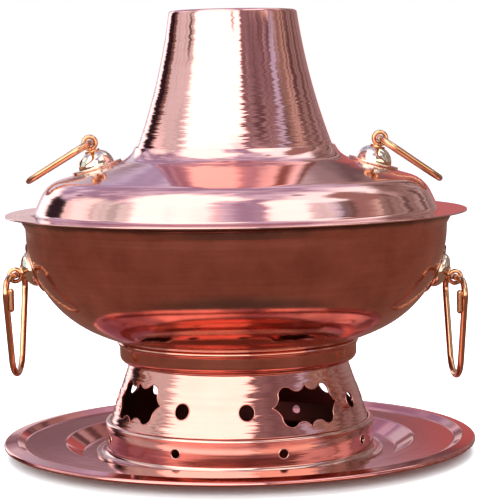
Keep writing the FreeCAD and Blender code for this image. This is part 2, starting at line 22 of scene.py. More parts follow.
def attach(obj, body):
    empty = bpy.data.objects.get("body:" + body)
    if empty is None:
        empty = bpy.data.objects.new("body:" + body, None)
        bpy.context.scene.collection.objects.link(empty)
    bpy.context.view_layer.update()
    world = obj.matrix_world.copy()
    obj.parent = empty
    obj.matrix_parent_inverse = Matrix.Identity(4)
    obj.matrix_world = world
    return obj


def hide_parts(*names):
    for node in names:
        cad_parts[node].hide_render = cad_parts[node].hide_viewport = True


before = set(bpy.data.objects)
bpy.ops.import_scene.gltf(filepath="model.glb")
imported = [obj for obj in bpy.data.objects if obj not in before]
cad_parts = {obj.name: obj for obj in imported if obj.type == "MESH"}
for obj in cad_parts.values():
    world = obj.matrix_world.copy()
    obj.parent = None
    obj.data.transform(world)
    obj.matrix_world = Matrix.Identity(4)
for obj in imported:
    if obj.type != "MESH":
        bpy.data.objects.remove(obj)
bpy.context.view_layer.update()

MM = 0.001
CAP_LIFTS = (0.35, 0.65, 0.87, 0.97)
LOG = logging.getLogger("hot_pot")


class Side(Enum):
    """The two sides that carry handles."""

    LEFT = -1
    RIGHT = 1

    @property
    def label(self) -> str:
        """The side's name as the nodes have it."""
        return self.name.lower()


# Shader maths


class Signal:
    """A shader socket that carries a value and can be used in arithmetic."""

    def __init__(self, recipe: "Recipe", socket: bpy.types.NodeSocket) -> None:
        """Wrap a socket.

        Args:
            recipe: The recipe that the socket's node belongs to.
            socket: The output socket.
        """
        self.recipe = recipe
        self.socket = socket

    def _math(self, operation: str, *operands: object) -> "Signal":
        """One Math node.

        Args:
            operation: The Math node's operation.
            operands: Signals or numbers, in the node's order.

        Returns:
            The node's result.
        """
        return self.recipe.node("ShaderNodeMath", {"operation": operation}, *operands)

    def __add__(self, other: object) -> "Signal":
        """Sum."""
        return self._math("ADD", self, other)

    def __radd__(self, other: object) -> "Signal":
        """Sum with a number on the left."""
        return self._math("ADD", other, self)

    def __sub__(self, other: object) -> "Signal":
        """Difference."""
        return self._math("SUBTRACT", self, other)

    def __rsub__(self, other: object) -> "Signal":
        """Difference from a number on the left."""
        return self._math("SUBTRACT", other, self)

    def __mul__(self, other: object) -> "Signal":
        """Product."""
        return self._math("MULTIPLY", self, other)

    def __rmul__(self, other: object) -> "Signal":
        """Product with a number on the left."""
        return self._math("MULTIPLY", other, self)

    def __truediv__(self, other: object) -> "Signal":
        """Quotient."""
        return self._math("DIVIDE", self, other)

    def root(self) -> "Signal":
        """Square root."""
        return self._math("SQRT", self)

    def step(self, low: float, high: float) -> "Signal":
        """A smooth rise from 0 to 1.

        Args:
            low: The value at which the rise starts.
            high: The value at which it ends.

        Returns:
            The mask.
        """
        return self.recipe.node(
            "ShaderNodeMapRange",
            {"interpolation_type": "SMOOTHSTEP"},
            self,
            low,
            high,
            0.0,
            1.0,
        )


class Recipe:
    """The nodes of one material or world, written as calls."""

    def __init__(self, tree: bpy.types.NodeTree) -> None:
        """Clear a node tree for use.

        Args:
            tree: The tree of a material or a world.
        """
        self.tree = tree
        tree.nodes.clear()

    def node(self, kind: str, settings: dict, *values: object, out: object = 0) -> Signal:
        """Add a node.

        Args:
            kind: The node's type.
            settings: The node's own settings, set before its sockets. "stops" are a colour
                ramp's stops, and "inputs" are values or Signals for inputs by name.
            values: One value or Signal for each input in turn, None to leave it be.
            out: The index or name of the output that is returned.

        Returns:
            The output.
        """
        made = self.tree.nodes.new(kind)
        for name, setting in settings.items():
            if name == "stops":
                self._stops(made, setting)
            elif name == "inputs":
                for label, value in setting.items():
                    self.feed(made.inputs[label], value)
            else:
                setattr(made, name, setting)
        sockets = [socket for socket in made.inputs if socket.enabled]
        for socket, value in zip(sockets, values):
            self.feed(socket, value)
        if isinstance(out, str):
            return Signal(self, made.outputs[out])
        return Signal(self, [socket for socket in made.outputs if socket.enabled][out])

    def feed(self, socket: bpy.types.NodeSocket, value: object) -> None:
        """Set or link one input.

        Args:
            socket: The input socket.
            value: A Signal to link, a value to set, or None to leave it be.
        """
        if isinstance(value, Signal):
            self.tree.links.new(value.socket, socket)
        elif value is not None:
            socket.default_value = value

    def _stops(self, ramp: bpy.types.Node, stops: list) -> None:
        """Set a colour ramp's stops.

        Args:
            ramp: The Color Ramp node.
            stops: (position, colour) pairs from left to right.
        """
        marks = ramp.color_ramp.elements
        while len(marks) > 1:
            marks.remove(marks[-1])
        marks[0].position, marks[0].color = stops[0][0], (*stops[0][1], 1.0)
        for position, color in stops[1:]:
            marks.new(position).color = (*color, 1.0)

    def ramp(self, value: Signal, stops: list) -> Signal:
        """A colour ramp with (position, colour) stops from left to right."""
        return self.node("ShaderNodeValToRGB", {"stops": stops}, value)

    def mix(self, factor: object, first: object, second: object) -> Signal:
        """Mix two colours.

        Args:
            factor: 0 for the first colour and 1 for the second.
            first: A colour, as a Signal or four numbers.
            second: A colour, as a Signal or four numbers.

        Returns:
            The mixed colour.
        """
        return self.node("ShaderNodeMix", {"data_type": "RGBA"}, factor, first, second)

    def noise(self, where: Signal, scale: float, detail: float = 3.0, rough: float = 0.5) -> Signal:
        """Noise from 0 to 1.

        Args:
            where: The position.
            scale: Lumps per unit of the position.
            detail: How many finer layers are added.
            rough: How strong the finer layers are.

        Returns:
            The noise value.
        """
        return self.node("ShaderNodeTexNoise", {}, where, scale, detail, rough)

    def vector(self, x: object, y: object, z: object) -> Signal:
        """A vector from three values."""
        return self.node("ShaderNodeCombineXYZ", {}, x, y, z)

    def split(self, vector: Signal) -> tuple[Signal, ...]:
        """The X, Y and Z of a vector."""
        parts = self.node("ShaderNodeSeparateXYZ", {}, vector).socket.node
        return tuple(Signal(self, socket) for socket in parts.outputs)

    def face(self) -> Signal:
        """The normal of the surface."""
        return self.node("ShaderNodeNewGeometry", {}, out="Normal")

    def show(self, shader: Signal, kind: str) -> None:
        """Link a shader to a new output node of one type."""
        self.feed(self.tree.nodes.new(kind).inputs[0], shader)


@dataclass
class Spin:
    """The place on a piece that was spun round the axis, as shader values."""

    recipe: Recipe
    slope: float

    def __post_init__(self) -> None:
        """Work the values out."""
        self.where = self.recipe.node("ShaderNodeTexCoord", {}, out="Object")
        self.x, self.y, self.z = self.recipe.split(self.where)
        self.radius = (self.x * self.x + self.y * self.y).root()
        self.track = self.z * self.slope - self.radius

    def rings(self, pitch: float, stretch: float, detail: float, rough: float) -> Signal:
        """Noise in rings round the axis, from 0 to 1.

        Args:
            pitch: From one ring to the next.
            stretch: How fast a ring changes along its way.
            detail: How many finer layers are added.
            rough: How strong the finer layers are.

        Returns:
            The noise value.
        """
        spot = self.recipe.vector(self.track / pitch, self.x * stretch, self.y * stretch)
        return self.recipe.noise(spot, 1.0, detail, rough)


# Finishes


@dataclass(frozen=True)
class Metal:
    """A metal finish: its colour, its gloss, the marks that its making left, and shade painted into its
    colour on inner faces and near the top.
    """

    name: str
    color: tuple[float, float, float]
    shade: tuple[float, float, float]
    roughness: float
    slot: str
    anisotropy: float = 0.0
    groove: float = 0.0
    groove_pitch: float = 0.6 * MM
    slope: float = 1.0
    blotch: float = 0.3
    dent: float = 0.0
    grime: float = 0.0
    smear: float = 0.0
    smear_from: float = 1.0
    smear_to: float = 0.9
    wave: float = 0.0
    wave_pitch: float = 6.0 * MM
    # How strongly shade is painted on the faces that look in towards the axis.
    soot: float = 0.0
    # Height above which a band of dark shade is painted into the colour.
    tarnish_height: float = 1.0

    # Colour of the shade painted on the inner faces.
    SOOT: ClassVar[tuple] = (0.10, 0.022, 0.018, 1.0)
    # Colour, share, fade and waver of the band of shade painted near the top.
    TARNISH: ClassVar[tuple] = (0.11, 0.065, 0.04, 1.0)
    TARNISH_SHARE: ClassVar[float] = 0.85
    TARNISH_FADE: ClassVar[float] = 3.0 * MM
    TARNISH_WAVER: ClassVar[float] = 4.0 * MM
    BRUSH_PITCH: ClassVar[float] = 0.45 * MM
    STROKE_PITCH: ClassVar[float] = 2.2 * MM
    BROAD_GROOVES: ClassVar[float] = 7.0
    CLOUD_SCALE: ClassVar[float] = 38.0
    GRIME_SCALE: ClassVar[float] = 90.0

    def smeared(self, spin: Spin) -> Signal:
        """The surface normal, swung a little round the axis from one brush line to the next."""
        recipe, radius = spin.recipe, spin.radius
        lines = spin.rings(self.BRUSH_PITCH, 12.0, 2.0, 0.7)
        bands = spin.rings(self.STROKE_PITCH, 20.0, 3.0, 0.6)
        swing = (0.6 * (lines - 0.5) + 0.8 * (bands - 0.5)) * self.smear
        if self.smear_from < 1.0:
            swing = swing * (1.0 - 0.7 * spin.z.step(self.smear_to, self.smear_from))
        along = recipe.vector((0.0 - spin.y) / radius * swing, spin.x / radius * swing, 0.0)
        swung = recipe.node("ShaderNodeVectorMath", {"operation": "ADD"}, recipe.face(), along)
        return recipe.node("ShaderNodeVectorMath", {"operation": "NORMALIZE"}, swung)

    def make(self) -> bpy.types.Material:
        """Build the material.

        Returns:
            The material, made once for each finish.
        """
        label = f"{self.name}_finish"
        if label in bpy.data.materials:
            return bpy.data.materials[label]
        material = bpy.data.materials.new(label)
        material.use_nodes = True
        recipe = Recipe(material.node_tree)
        spin = Spin(recipe, self.slope)
        fine = spin.rings(self.groove_pitch, 4.0, 2.0, 0.6)
        broad = spin.rings(self.BROAD_GROOVES * self.groove_pitch, 9.0, 3.0, 0.55)
        cloud = recipe.noise(spin.where, self.CLOUD_SCALE, 4.0, 0.6)
        tone = recipe.node("ShaderNodeMath", {"operation": "MULTIPLY_ADD", "use_clamp": True},
                           cloud - 0.5, 2.0 * self.blotch, 0.25 + 0.5 * broad)
        color = recipe.mix(tone, (*self.color, 1.0), (*self.shade, 1.0))
        if self.grime > 0.0:
            low = recipe.noise(spin.where, self.GRIME_SCALE, 5.0, 0.7).step(0.52, 0.75)
            color = recipe.mix(low * self.grime, color, (*(0.4 * c for c in self.shade), 1.0))
        rough = self.roughness * (0.8 + 0.25 * fine + 0.3 * cloud)
        # Painted shade: faces that look in towards the axis turn near-black red, standing in for the shade
        # inside the stand; their roughness rises too.
        if self.soot > 0.0:
            outward = recipe.node("ShaderNodeVectorMath", {"operation": "DOT_PRODUCT"},
                                  recipe.face(), recipe.vector(spin.x, spin.y, 0.0), out="Value")
            inner = (outward / spin.radius).step(0.0, -0.1) * self.soot
            color = recipe.mix(inner, color, self.SOOT)
            rough = rough + 0.35 * inner
        # Painted shade: above a wavering height the colour turns dark brown, standing in for the shade
        # under the lid's brim; roughness rises there too.
        if self.tarnish_height < 1.0:
            level = spin.z + self.TARNISH_WAVER * (cloud - 0.5)
            edge = level.step(self.tarnish_height, self.tarnish_height + self.TARNISH_FADE)
            color = recipe.mix(edge * self.TARNISH_SHARE, color, self.TARNISH)
            rough = rough + 0.2 * edge
        height = (fine - 0.5) * self.groove + (cloud - 0.5) * self.dent
        if self.wave > 0.0:
            height = height + (spin.rings(self.wave_pitch, 3.0, 2.0, 0.5) - 0.5) * self.wave
        relief = {"Strength": 1.0, "Distance": 1.0, "Height": height}
        if self.smear > 0.0:
            relief["Normal"] = self.smeared(spin)
        shader = recipe.node("ShaderNodeBsdfPrincipled", {"inputs": {
            "Base Color": color, "Roughness": rough, "Metallic": 1.0, "Anisotropic": self.anisotropy,
            "Normal": recipe.node("ShaderNodeBump", {"inputs": relief})}})
        recipe.show(shader, "ShaderNodeOutputMaterial")
        return material


POLISHED_COPPER = Metal(
    "polished_copper", (0.86, 0.50, 0.43), (0.76, 0.38, 0.33), 0.085, "polished_copper",
    anisotropy=0.2, groove=0.0015 * MM, blotch=0.2, smear=0.10, dent=0.05 * MM)
TRAY_COPPER = Metal(
    "tray_copper", (0.75, 0.31, 0.27), (0.62, 0.22, 0.19), 0.065, "polished_copper",
    anisotropy=0.2, groove=0.002 * MM, slope=-1.0, blotch=0.3, dent=0.03 * MM, wave=0.035 * MM)
CHIMNEY_COPPER = Metal(
    "chimney_copper", (0.84, 0.44, 0.39), (0.72, 0.33, 0.29), 0.075, "brushed_copper",
    anisotropy=0.2, groove=0.002 * MM, blotch=0.2, smear=0.45, smear_from=0.29, smear_to=0.20)
# The stand's copper, with shade painted on its inner faces; the band's copper keeps this painted shade.
BRUSHED_COPPER = Metal(
    "brushed_copper", (0.75, 0.35, 0.29), (0.60, 0.25, 0.20), 0.10, "brushed_copper",
    anisotropy=0.3, groove=0.004 * MM, blotch=0.3, smear=0.40, soot=0.92)
BAND_COPPER = replace(
    BRUSHED_COPPER, name="band_copper", color=(0.74, 0.45, 0.38), shade=(0.56, 0.30, 0.24))
SATIN_COPPER = Metal(
    "satin_copper", (0.84, 0.37, 0.28), (0.46, 0.18, 0.13), 0.11, "satin_copper",
    anisotropy=0.2, groove=0.007 * MM, slope=-1.0, blotch=0.8, smear=0.10, dent=0.03 * MM)
MIRROR_BRASS = Metal(
    "mirror_brass", (0.86, 0.76, 0.62), (0.70, 0.56, 0.40), 0.07, "mirror_brass",
    groove_pitch=2.0 * MM, blotch=0.2)
WARM_BRASS = Metal(
    "warm_brass", (0.82, 0.50, 0.28), (0.55, 0.26, 0.13), 0.16, "warm_brass",
    groove_pitch=2.5 * MM, blotch=0.4, grime=0.35)
CAST_IRON = Metal(
    "cast_iron", (0.11, 0.10, 0.095), (0.06, 0.05, 0.05), 0.6, "cast_iron",
    groove_pitch=3.0 * MM, blotch=0.5, dent=0.35 * MM)


# Meshes


@dataclass
class Station:
    """One point of a section: its place and the direction that the line takes there."""

    radius: float
    height: float
    heading: float

    def shifted(self, distance: float) -> "Station":
        """The point at a distance to the line's left."""
        angle = math.radians(self.heading)
        across, up = -math.sin(angle) * distance, math.cos(angle) * distance
        return Station(self.radius + across, self.height + up, self.heading)


@dataclass
class Facing:
    """One point of a closed section with the normal of the surface there."""

    radius: float
    height: float
    normal: tuple[float, float]


class SheetLine:
    """The outer line of a spun sheet: straight runs and arcs that join smoothly.

    Headings are in degrees: 0 points away from the axis and 90 points up.
    """

    ARC_STEP = 5.0
    RUN_STEP = 4.0 * MM
    EDGE_STEP = 30.0
    EDGE_FLATTENING = 0.55

    def __init__(self, radius: float, height: float, heading: float) -> None:
        """Start the line.

        Args:
            radius: Distance from the axis.
            height: Height over the floor.
            heading: Direction in degrees.
        """
        self.stations = [Station(radius, height, heading)]

    @property
    def end(self) -> Station:
        """The last point so far."""
        return self.stations[-1]

    def run(self, length: float) -> None:
        """Go straight on for a length."""
        start, angle = self.end, math.radians(self.end.heading)
        count = max(1, math.ceil(abs(length) / self.RUN_STEP))
        for step in range(1, count + 1):
            reach = length * step / count
            across, up = math.cos(angle) * reach, math.sin(angle) * reach
            self.stations.append(Station(start.radius + across, start.height + up, start.heading))

    def run_to_radius(self, radius: float) -> None:
        """Go straight on to a distance from the axis."""
        self.run((radius - self.end.radius) / math.cos(math.radians(self.end.heading)))

    def run_to_height(self, height: float) -> None:
        """Go straight on to a height."""
        self.run((height - self.end.height) / math.sin(math.radians(self.end.heading)))

    def bend(self, curve: float, turn: float) -> None:
        """Follow an arc.

        Args:
            curve: The arc's radius.
            turn: The change of heading in degrees, positive to the left.
        """
        start, side = self.end, math.copysign(1.0, turn)
        centre = start.shifted(curve * side)
        count = max(2, math.ceil(abs(turn) / self.ARC_STEP), math.ceil(
            math.radians(abs(turn)) * curve / self.RUN_STEP))
        for step in range(1, count + 1):
            heading = start.heading + turn * step / count
            at = Station(centre.radius, centre.height, heading).shifted(-curve * side)
            self.stations.append(at)

    def bend_to(self, radius: float, height: float) -> None:
        """Follow the one arc that leaves smoothly and ends at a point.

        Args:
            radius: The end's distance from the axis.
            height: The end's height.
        """
        across, rise = radius - self.end.radius, height - self.end.height
        toward = math.degrees(math.atan2(rise, across))
        turn = 2.0 * ((toward - self.end.heading + 180.0) % 360.0 - 180.0)
        self.bend(math.hypot(across, rise) / (2.0 * math.sin(math.radians(abs(turn) / 2.0))), turn)

    def radius_at(self, height: float) -> float:
        """The line's radius at a height, on the last stretch that passes it.

        Args:
            height: The height.

        Returns:
            The radius.
        """
        pairs = list(zip(self.stations, self.stations[1:]))
        for low, high in reversed(pairs):
            if min(low.height, high.height) <= height <= max(low.height, high.height):
                if abs(high.height - low.height) > 1e-9:
                    share = (height - low.height) / (high.height - low.height)
                    return low.radius + (high.radius - low.radius) * share
        raise ValueError(f"the line does not reach the height {height}")

    def tracks(self) -> list[float]:
        """The distance of each of the line's points along it."""
        found = [0.0]
        for before, after in zip(self.stations, self.stations[1:]):
            step = math.hypot(after.radius - before.radius, after.height - before.height)
            found.append(found[-1] + step)
        return found

    def section(self, inward: float, outward: float = 0.0) -> list[Facing]:
        """Close the line into a sheet's section, its free edges rounded.

        Args:
            inward: Thickness to the line's left.
            outward: Thickness to its right.

        Returns:
            The points round the section.
        """
        right = [self._facing(at.shifted(-outward), -1.0) for at in self.stations]
        left = [self._facing(at.shifted(inward), 1.0) for at in reversed(self.stations)]
        loop = right
        if self.end.radius > 1e-6:
            loop = loop + self._edge(self.end, inward, outward, 0.0)
        loop = loop + left
        if self.stations[0].radius > 1e-6:
            loop = loop + self._edge(self.stations[0], inward, outward, 180.0)
        return loop

    def _facing(self, at: Station, side: float) -> Facing:
        """A point of the right or the left face."""
        angle = math.radians(at.heading)
        return Facing(max(at.radius, 0.0), at.height, (-math.sin(angle) * side, math.cos(angle) * side))

    def _edge(self, at: Station, inward: float, outward: float, turn: float) -> list[Facing]:
        """The rounded free edge at one end.

        Args:
            at: The line's end point.
            inward: Thickness to the left.
            outward: Thickness to the right.
            turn: 0 at the line's end, and 180 at its start.

        Returns:
            The edge's points between the faces.
        """
        half = (inward + outward) / 2.0
        middle = at.shifted((inward - outward) / 2.0)
        points = []
        for step in range(1, 6):
            angle = math.radians(at.heading + turn - 90.0 + self.EDGE_STEP * step)
            normal = (math.cos(angle), math.sin(angle))
            swell = self.EDGE_FLATTENING if 1 < step < 5 else 1.0
            along = math.radians(at.heading + turn)
            across = normal[0] * -math.sin(along) + normal[1] * math.cos(along)
            ahead = normal[0] * math.cos(along) + normal[1] * math.sin(along)
            ahead_reach = half * ahead * swell
            points.append(Facing(
                middle.radius + math.cos(along) * ahead_reach - math.sin(along) * across * half,
                middle.height + math.sin(along) * ahead_reach + math.cos(along) * across * half,
                normal))
        return points


def new_object(name: str, points: list, faces: list, normals: list | None = None) -> bpy.types.Object:
    """A mesh object in the scene, smooth shaded.

    Args:
        name: The piece's name.
        points: The vertices.
        faces: The faces, as tuples of vertex numbers.
        normals: One normal for each vertex, or None for the mesh's own.

    Returns:
        The object.
    """
    mesh = bpy.data.meshes.new(name)
    mesh.from_pydata([tuple(point) for point in points], [], faces)
    mesh.polygons.foreach_set("use_smooth", [True] * len(mesh.polygons))
    mesh.update()
    if normals:
        mesh.normals_split_custom_set_from_vertices([tuple(normal) for normal in normals])
    made = bpy.data.objects.new(name, mesh)
    bpy.context.scene.collection.objects.link(made)
    return made


def turned(name: str, loop: list[Facing], segments: int, axis: Matrix | None = None) -> bpy.types.Object:
    """Turn a closed section round an axis.

    Args:
        name: The piece's name.
        loop: The section, anticlockwise with the radius to the right.
        segments: Steps round the axis.
        axis: The frame whose Z is the axis, or None for the pot's own.

    Returns:
        The object.
    """
    place = axis or Matrix.Identity(4)
    spin = place.to_3x3()
    points, normals, columns = [], [], []
    for step in range(segments):
        angle = math.tau * step / segments
        cos, sin = math.cos(angle), math.sin(angle)
        column = []
        for number, at in enumerate(loop):
            if at.radius < 1e-7 and step:
                column.append(columns[0][number])
                continue
            column.append(len(points))
            points.append(place @ Vector((at.radius * cos, at.radius * sin, at.height)))
            normals.append(spin @ Vector((at.normal[0] * cos, at.normal[0] * sin, at.normal[1])))
        columns.append(column)
    faces = []
    for step in range(segments):
        here, there = columns[step], columns[(step + 1) % segments]
        for number in range(len(loop)):
            after = (number + 1) % len(loop)
            corners = (here[number], there[number], there[after], here[after])
            unique = tuple(dict.fromkeys(corners))
            if len(unique) > 2:
                faces.append(unique)
    return new_object(name, points, faces, normals)


def pierced(
    name: str, line: SheetLine, sheet: float, cuts: list, columns: int, seam: float
) -> bpy.types.Object:
    """A spun sheet with openings through it.

    Args:
        name: The piece's name.
        line: The outer line, from bottom to top.
        sheet: The sheet's thickness.
        cuts: Each opening's outline, as (turn in radians from the front, distance
            along the line) points.
        columns: Steps round the axis.
        seam: An angle from the front, in radians, that no opening reaches.

    Returns:
        The object.
    """
    tracks = line.tracks()
    middle = sum(at.radius for at in line.stations) / len(line.stations)
    flat = [Vector((math.tau * column / columns * middle, track))
            for track in tracks for column in range(columns + 1)]
    loops = [[Vector(((turn - seam) % math.tau * middle, track)) for turn, track in cut] for cut in cuts]
    edges = []
    for loop in loops:
        first = len(flat)
        flat += loop
        edges += [(first + n, first + (n + 1) % len(loop)) for n in range(len(loop))]
    spots, _, triangles = delaunay_2d_cdt(flat, edges, [], 0, 1e-7)[:3]
    middles = [sum((spots[v] for v in triangle), Vector((0, 0))) / 3.0 for triangle in triangles]
    faces = [triangle for triangle, at in zip(triangles, middles) if not inside_any(at, loops)]
    points, normals, numbers = [], [], {}

    def corner(spot: int, inner: bool) -> int:
        """The vertex over a flat point, shared where the sheet closes on itself."""
        turn = spots[spot].x / middle + seam
        at = station_at(line, tracks, spots[spot].y)
        key = (round(turn % math.tau * 1e6) % round(math.tau * 1e6), round(spots[spot].y * 1e8), inner)
        if key not in numbers:
            place = at.shifted(sheet if inner else 0.0)
            heading = math.radians(at.heading)
            out, up = math.sin(heading), -math.cos(heading)
            sign = -1.0 if inner else 1.0
            numbers[key] = len(points)
            points.append((place.radius * math.sin(turn), -place.radius * math.cos(turn), place.height))
            normals.append((out * math.sin(turn) * sign, -out * math.cos(turn) * sign, up * sign))
        return numbers[key]

    shell = []
    for triangle in faces:
        shell.append(tuple(corner(v, False) for v in triangle))
        shell.append(tuple(corner(v, True) for v in reversed(triangle)))
    open_edges = {}
    for triangle in shell:
        for n in range(3):
            pair = (triangle[n], triangle[(n + 1) % 3])
            if not open_edges.pop(pair[::-1], False):
                open_edges[pair] = True
    inner_of = {numbers[key]: numbers[(*key[:2], True)] for key in numbers if not key[2]}
    walls, wall_points = [], {}

    def rim(vertex: int) -> int:
        """A copy of a vertex for the wall of an opening, with its own normal."""
        if vertex not in wall_points:
            wall_points[vertex] = len(points)
            points.append(points[vertex])
            normals.append((0.0, 0.0, 0.0))
        return wall_points[vertex]

    for a, b in open_edges:
        if a in inner_of and b in inner_of:
            walls.append((rim(b), rim(a), rim(inner_of[a]), rim(inner_of[b])))
    return new_object(name, points, shell + walls, normals)


def lips(line: SheetLine, cuts: list, wire: float) -> list[bpy.types.Object]:
    """The burr that a punch leaves round each opening of a spun sheet.

    Args:
        line: The sheet's outer line.
        cuts: The openings, as for pierced().
        wire: The burr's radius.

    Returns:
        One ring of wire for each opening.
    """
    tracks = line.tracks()
    rings = []
    for cut in cuts:
        path = []
        for turn, track in cut:
            at = station_at(line, tracks, track).shifted(0.1 * wire)
            path.append(Vector((at.radius * math.sin(turn), -at.radius * math.cos(turn), at.height)))
        rings.append(tube("burr", path, wire, True, 8))
    return rings


def station_at(line: SheetLine, tracks: list, track: float) -> Station:
    """The point of a line at a distance along it.

    Args:
        line: The line.
        tracks: The distance of each of its points.
        track: The distance that is wanted.

    Returns:
        The point, between its neighbours.
    """
    for number in range(1, len(tracks)):
        if track <= tracks[number] + 1e-9 or number == len(tracks) - 1:
            low, high = line.stations[number - 1], line.stations[number]
            share = (track - tracks[number - 1]) / (tracks[number] - tracks[number - 1])
            return Station(*(getattr(low, part) + (getattr(high, part) - getattr(low, part)) * share
                             for part in ("radius", "height", "heading")))
    raise ValueError("the line has no length")


def inside_any(spot: Vector, loops: list) -> bool:
    """Whether a flat point is inside one of several outlines.

    Args:
        spot: The point.
        loops: The outlines.

    Returns:
        True inside.
    """
    for loop in loops:
        if min(p.x for p in loop) > spot.x or max(p.x for p in loop) < spot.x:
            continue
        inside = False
        for a, b in zip(loop, loop[1:] + loop[:1]):
            if (a.y > spot.y) != (b.y > spot.y):
                if spot.x < (b.x - a.x) * (spot.y - a.y) / (b.y - a.y) + a.x:
                    inside = not inside
        if inside:
            return True
    return False


def arc_through(first: tuple, middle: tuple, last: tuple, steps: int) -> list[tuple[float, float]]:
    """Points of the arc through three points, without its last one.

    Args:
        first: Where it starts.
        middle: A point that it passes.
        last: Where it ends.
        steps: How many points.

    Returns:
        The points.
    """
    a, b, c = (Vector(point) for point in (first, middle, last))
    d = 2.0 * (a.x * (b.y - c.y) + b.x * (c.y - a.y) + c.x * (a.y - b.y))
    squares = [p.length_squared for p in (a, b, c)]
    centre = Vector((
        (squares[0] * (b.y - c.y) + squares[1] * (c.y - a.y) + squares[2] * (a.y - b.y)) / d,
        (squares[0] * (c.x - b.x) + squares[1] * (a.x - c.x) + squares[2] * (b.x - a.x)) / d))
    angles = [math.atan2(p.y - centre.y, p.x - centre.x) for p in (a, b, c)]
    sweep = (angles[2] - angles[0]) % math.tau
    if (angles[1] - angles[0]) % math.tau > sweep:
        sweep -= math.tau
    curve = (a - centre).length
    return [(centre.x + curve * math.cos(angles[0] + sweep * n / steps),
             centre.y + curve * math.sin(angles[0] + sweep * n / steps)) for n in range(steps)]


def tube(name: str, path: list[Vector], wire: float, closed: bool, sides: int = 20) -> bpy.types.Object:
    """Round wire along a path.

    Args:
        name: The piece's name.
        path: Points of the middle line.
        wire: The wire's radius.
        closed: Whether the path closes on itself; an open one gets round ends.
        sides: Steps round the wire.

    Returns:
        The object.
    """
    count = len(path)
    points, normals, rings = [], [], []
    up = None
    for number, at in enumerate(path):
        before = path[number - 1] if closed or number else at
        after = path[(number + 1) % count] if closed or number < count - 1 else at
        along = (after - before).normalized()
        if up is None:
            up = along.orthogonal().normalized()
        up = (up - along * up.dot(along)).normalized()
        across = along.cross(up)
        rings.append([len(points) + n for n in range(sides)])
        for n in range(sides):
            angle = math.tau * n / sides
            out = up * math.cos(angle) + across * math.sin(angle)
            points.append(at + out * wire)
            normals.append(out)
    faces = []
    for number in range(count if closed else count - 1):
        here, there = rings[number], rings[(number + 1) % count]
        if closed and number == count - 1:
            shift = min(range(sides), key=lambda n: (points[there[n]] - points[here[0]]).length)
            there = there[shift:] + there[:shift]
        for n in range(sides):
            m = (n + 1) % sides
            faces.append((here[n], here[m], there[m], there[n]))
    if not closed:
        for end, inner in ((0, 1), (-1, -2)):
            ahead = (path[end] - path[inner]).normalized()
            ring = rings[end]
            for lift in CAP_LIFTS:
                size = math.sqrt(1.0 - lift * lift)
                new = [len(points) + n for n in range(sides)]
                for n in range(sides):
                    out = (points[rings[end][n]] - path[end]) / wire
                    normal = out * size + ahead * lift
                    points.append(path[end] + normal * wire)
                    normals.append(normal)
                for n in range(sides):
                    m = (n + 1) % sides
                    quad = (ring[n], ring[m], new[m], new[n])
                    faces.append(quad if end == -1 else tuple(reversed(quad)))
                ring = new
            tip = len(points)
            points.append(path[end] + ahead * wire)
            normals.append(ahead)
            for n in range(sides):
                m = (n + 1) % sides
                fan = (ring[n], ring[m], tip)
                faces.append(fan if end == -1 else tuple(reversed(fan)))
    return new_object(name, points, faces, normals)


def coat(piece: bpy.types.Object, finish: Metal) -> None:
    """Give a piece the material of a finish."""
    piece.data.materials.clear()
    piece.data.materials.append(finish.make())


def dress(piece: bpy.types.Object, finish: Metal, body: str, *nodes: str) -> None:
    """Give a piece its finish and its place in the frame.

    Args:
        piece: The piece.
        finish: Its finish.
        body: The CAD body that it moves with.
        nodes: The CAD nodes that it stands for.
    """
    coat(piece, finish)
    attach(piece, body)
    if nodes:
        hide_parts(*nodes)
    LOG.info("%s: %d faces, %s, on %s", piece.name, len(piece.data.polygons), finish.name, body)


def merged(name: str, parts: list[bpy.types.Object]) -> bpy.types.Object:
    """Join objects into one, with the normals that they had.

    Args:
        name: The name of the result.
        parts: The objects; they are used up.

    Returns:
        The joined object.
    """
    points, faces, normals = [], [], []
    for part in parts:
        base = len(points)
        mesh = part.data
        corner_normals = [Vector(corner.vector) for corner in mesh.corner_normals]
        by_vertex = {}
        for loop in mesh.loops:
            by_vertex.setdefault(loop.vertex_index, corner_normals[loop.index])
        points += [vertex.co.copy() for vertex in mesh.vertices]
        normals += [by_vertex.get(vertex.index, Vector((0, 0, 1))) for vertex in mesh.vertices]
        faces += [tuple(base + v for v in polygon.vertices) for polygon in mesh.polygons]
        bpy.data.objects.remove(part)
        bpy.data.meshes.remove(mesh)
    return new_object(name, points, faces, normals)


# Spun pieces


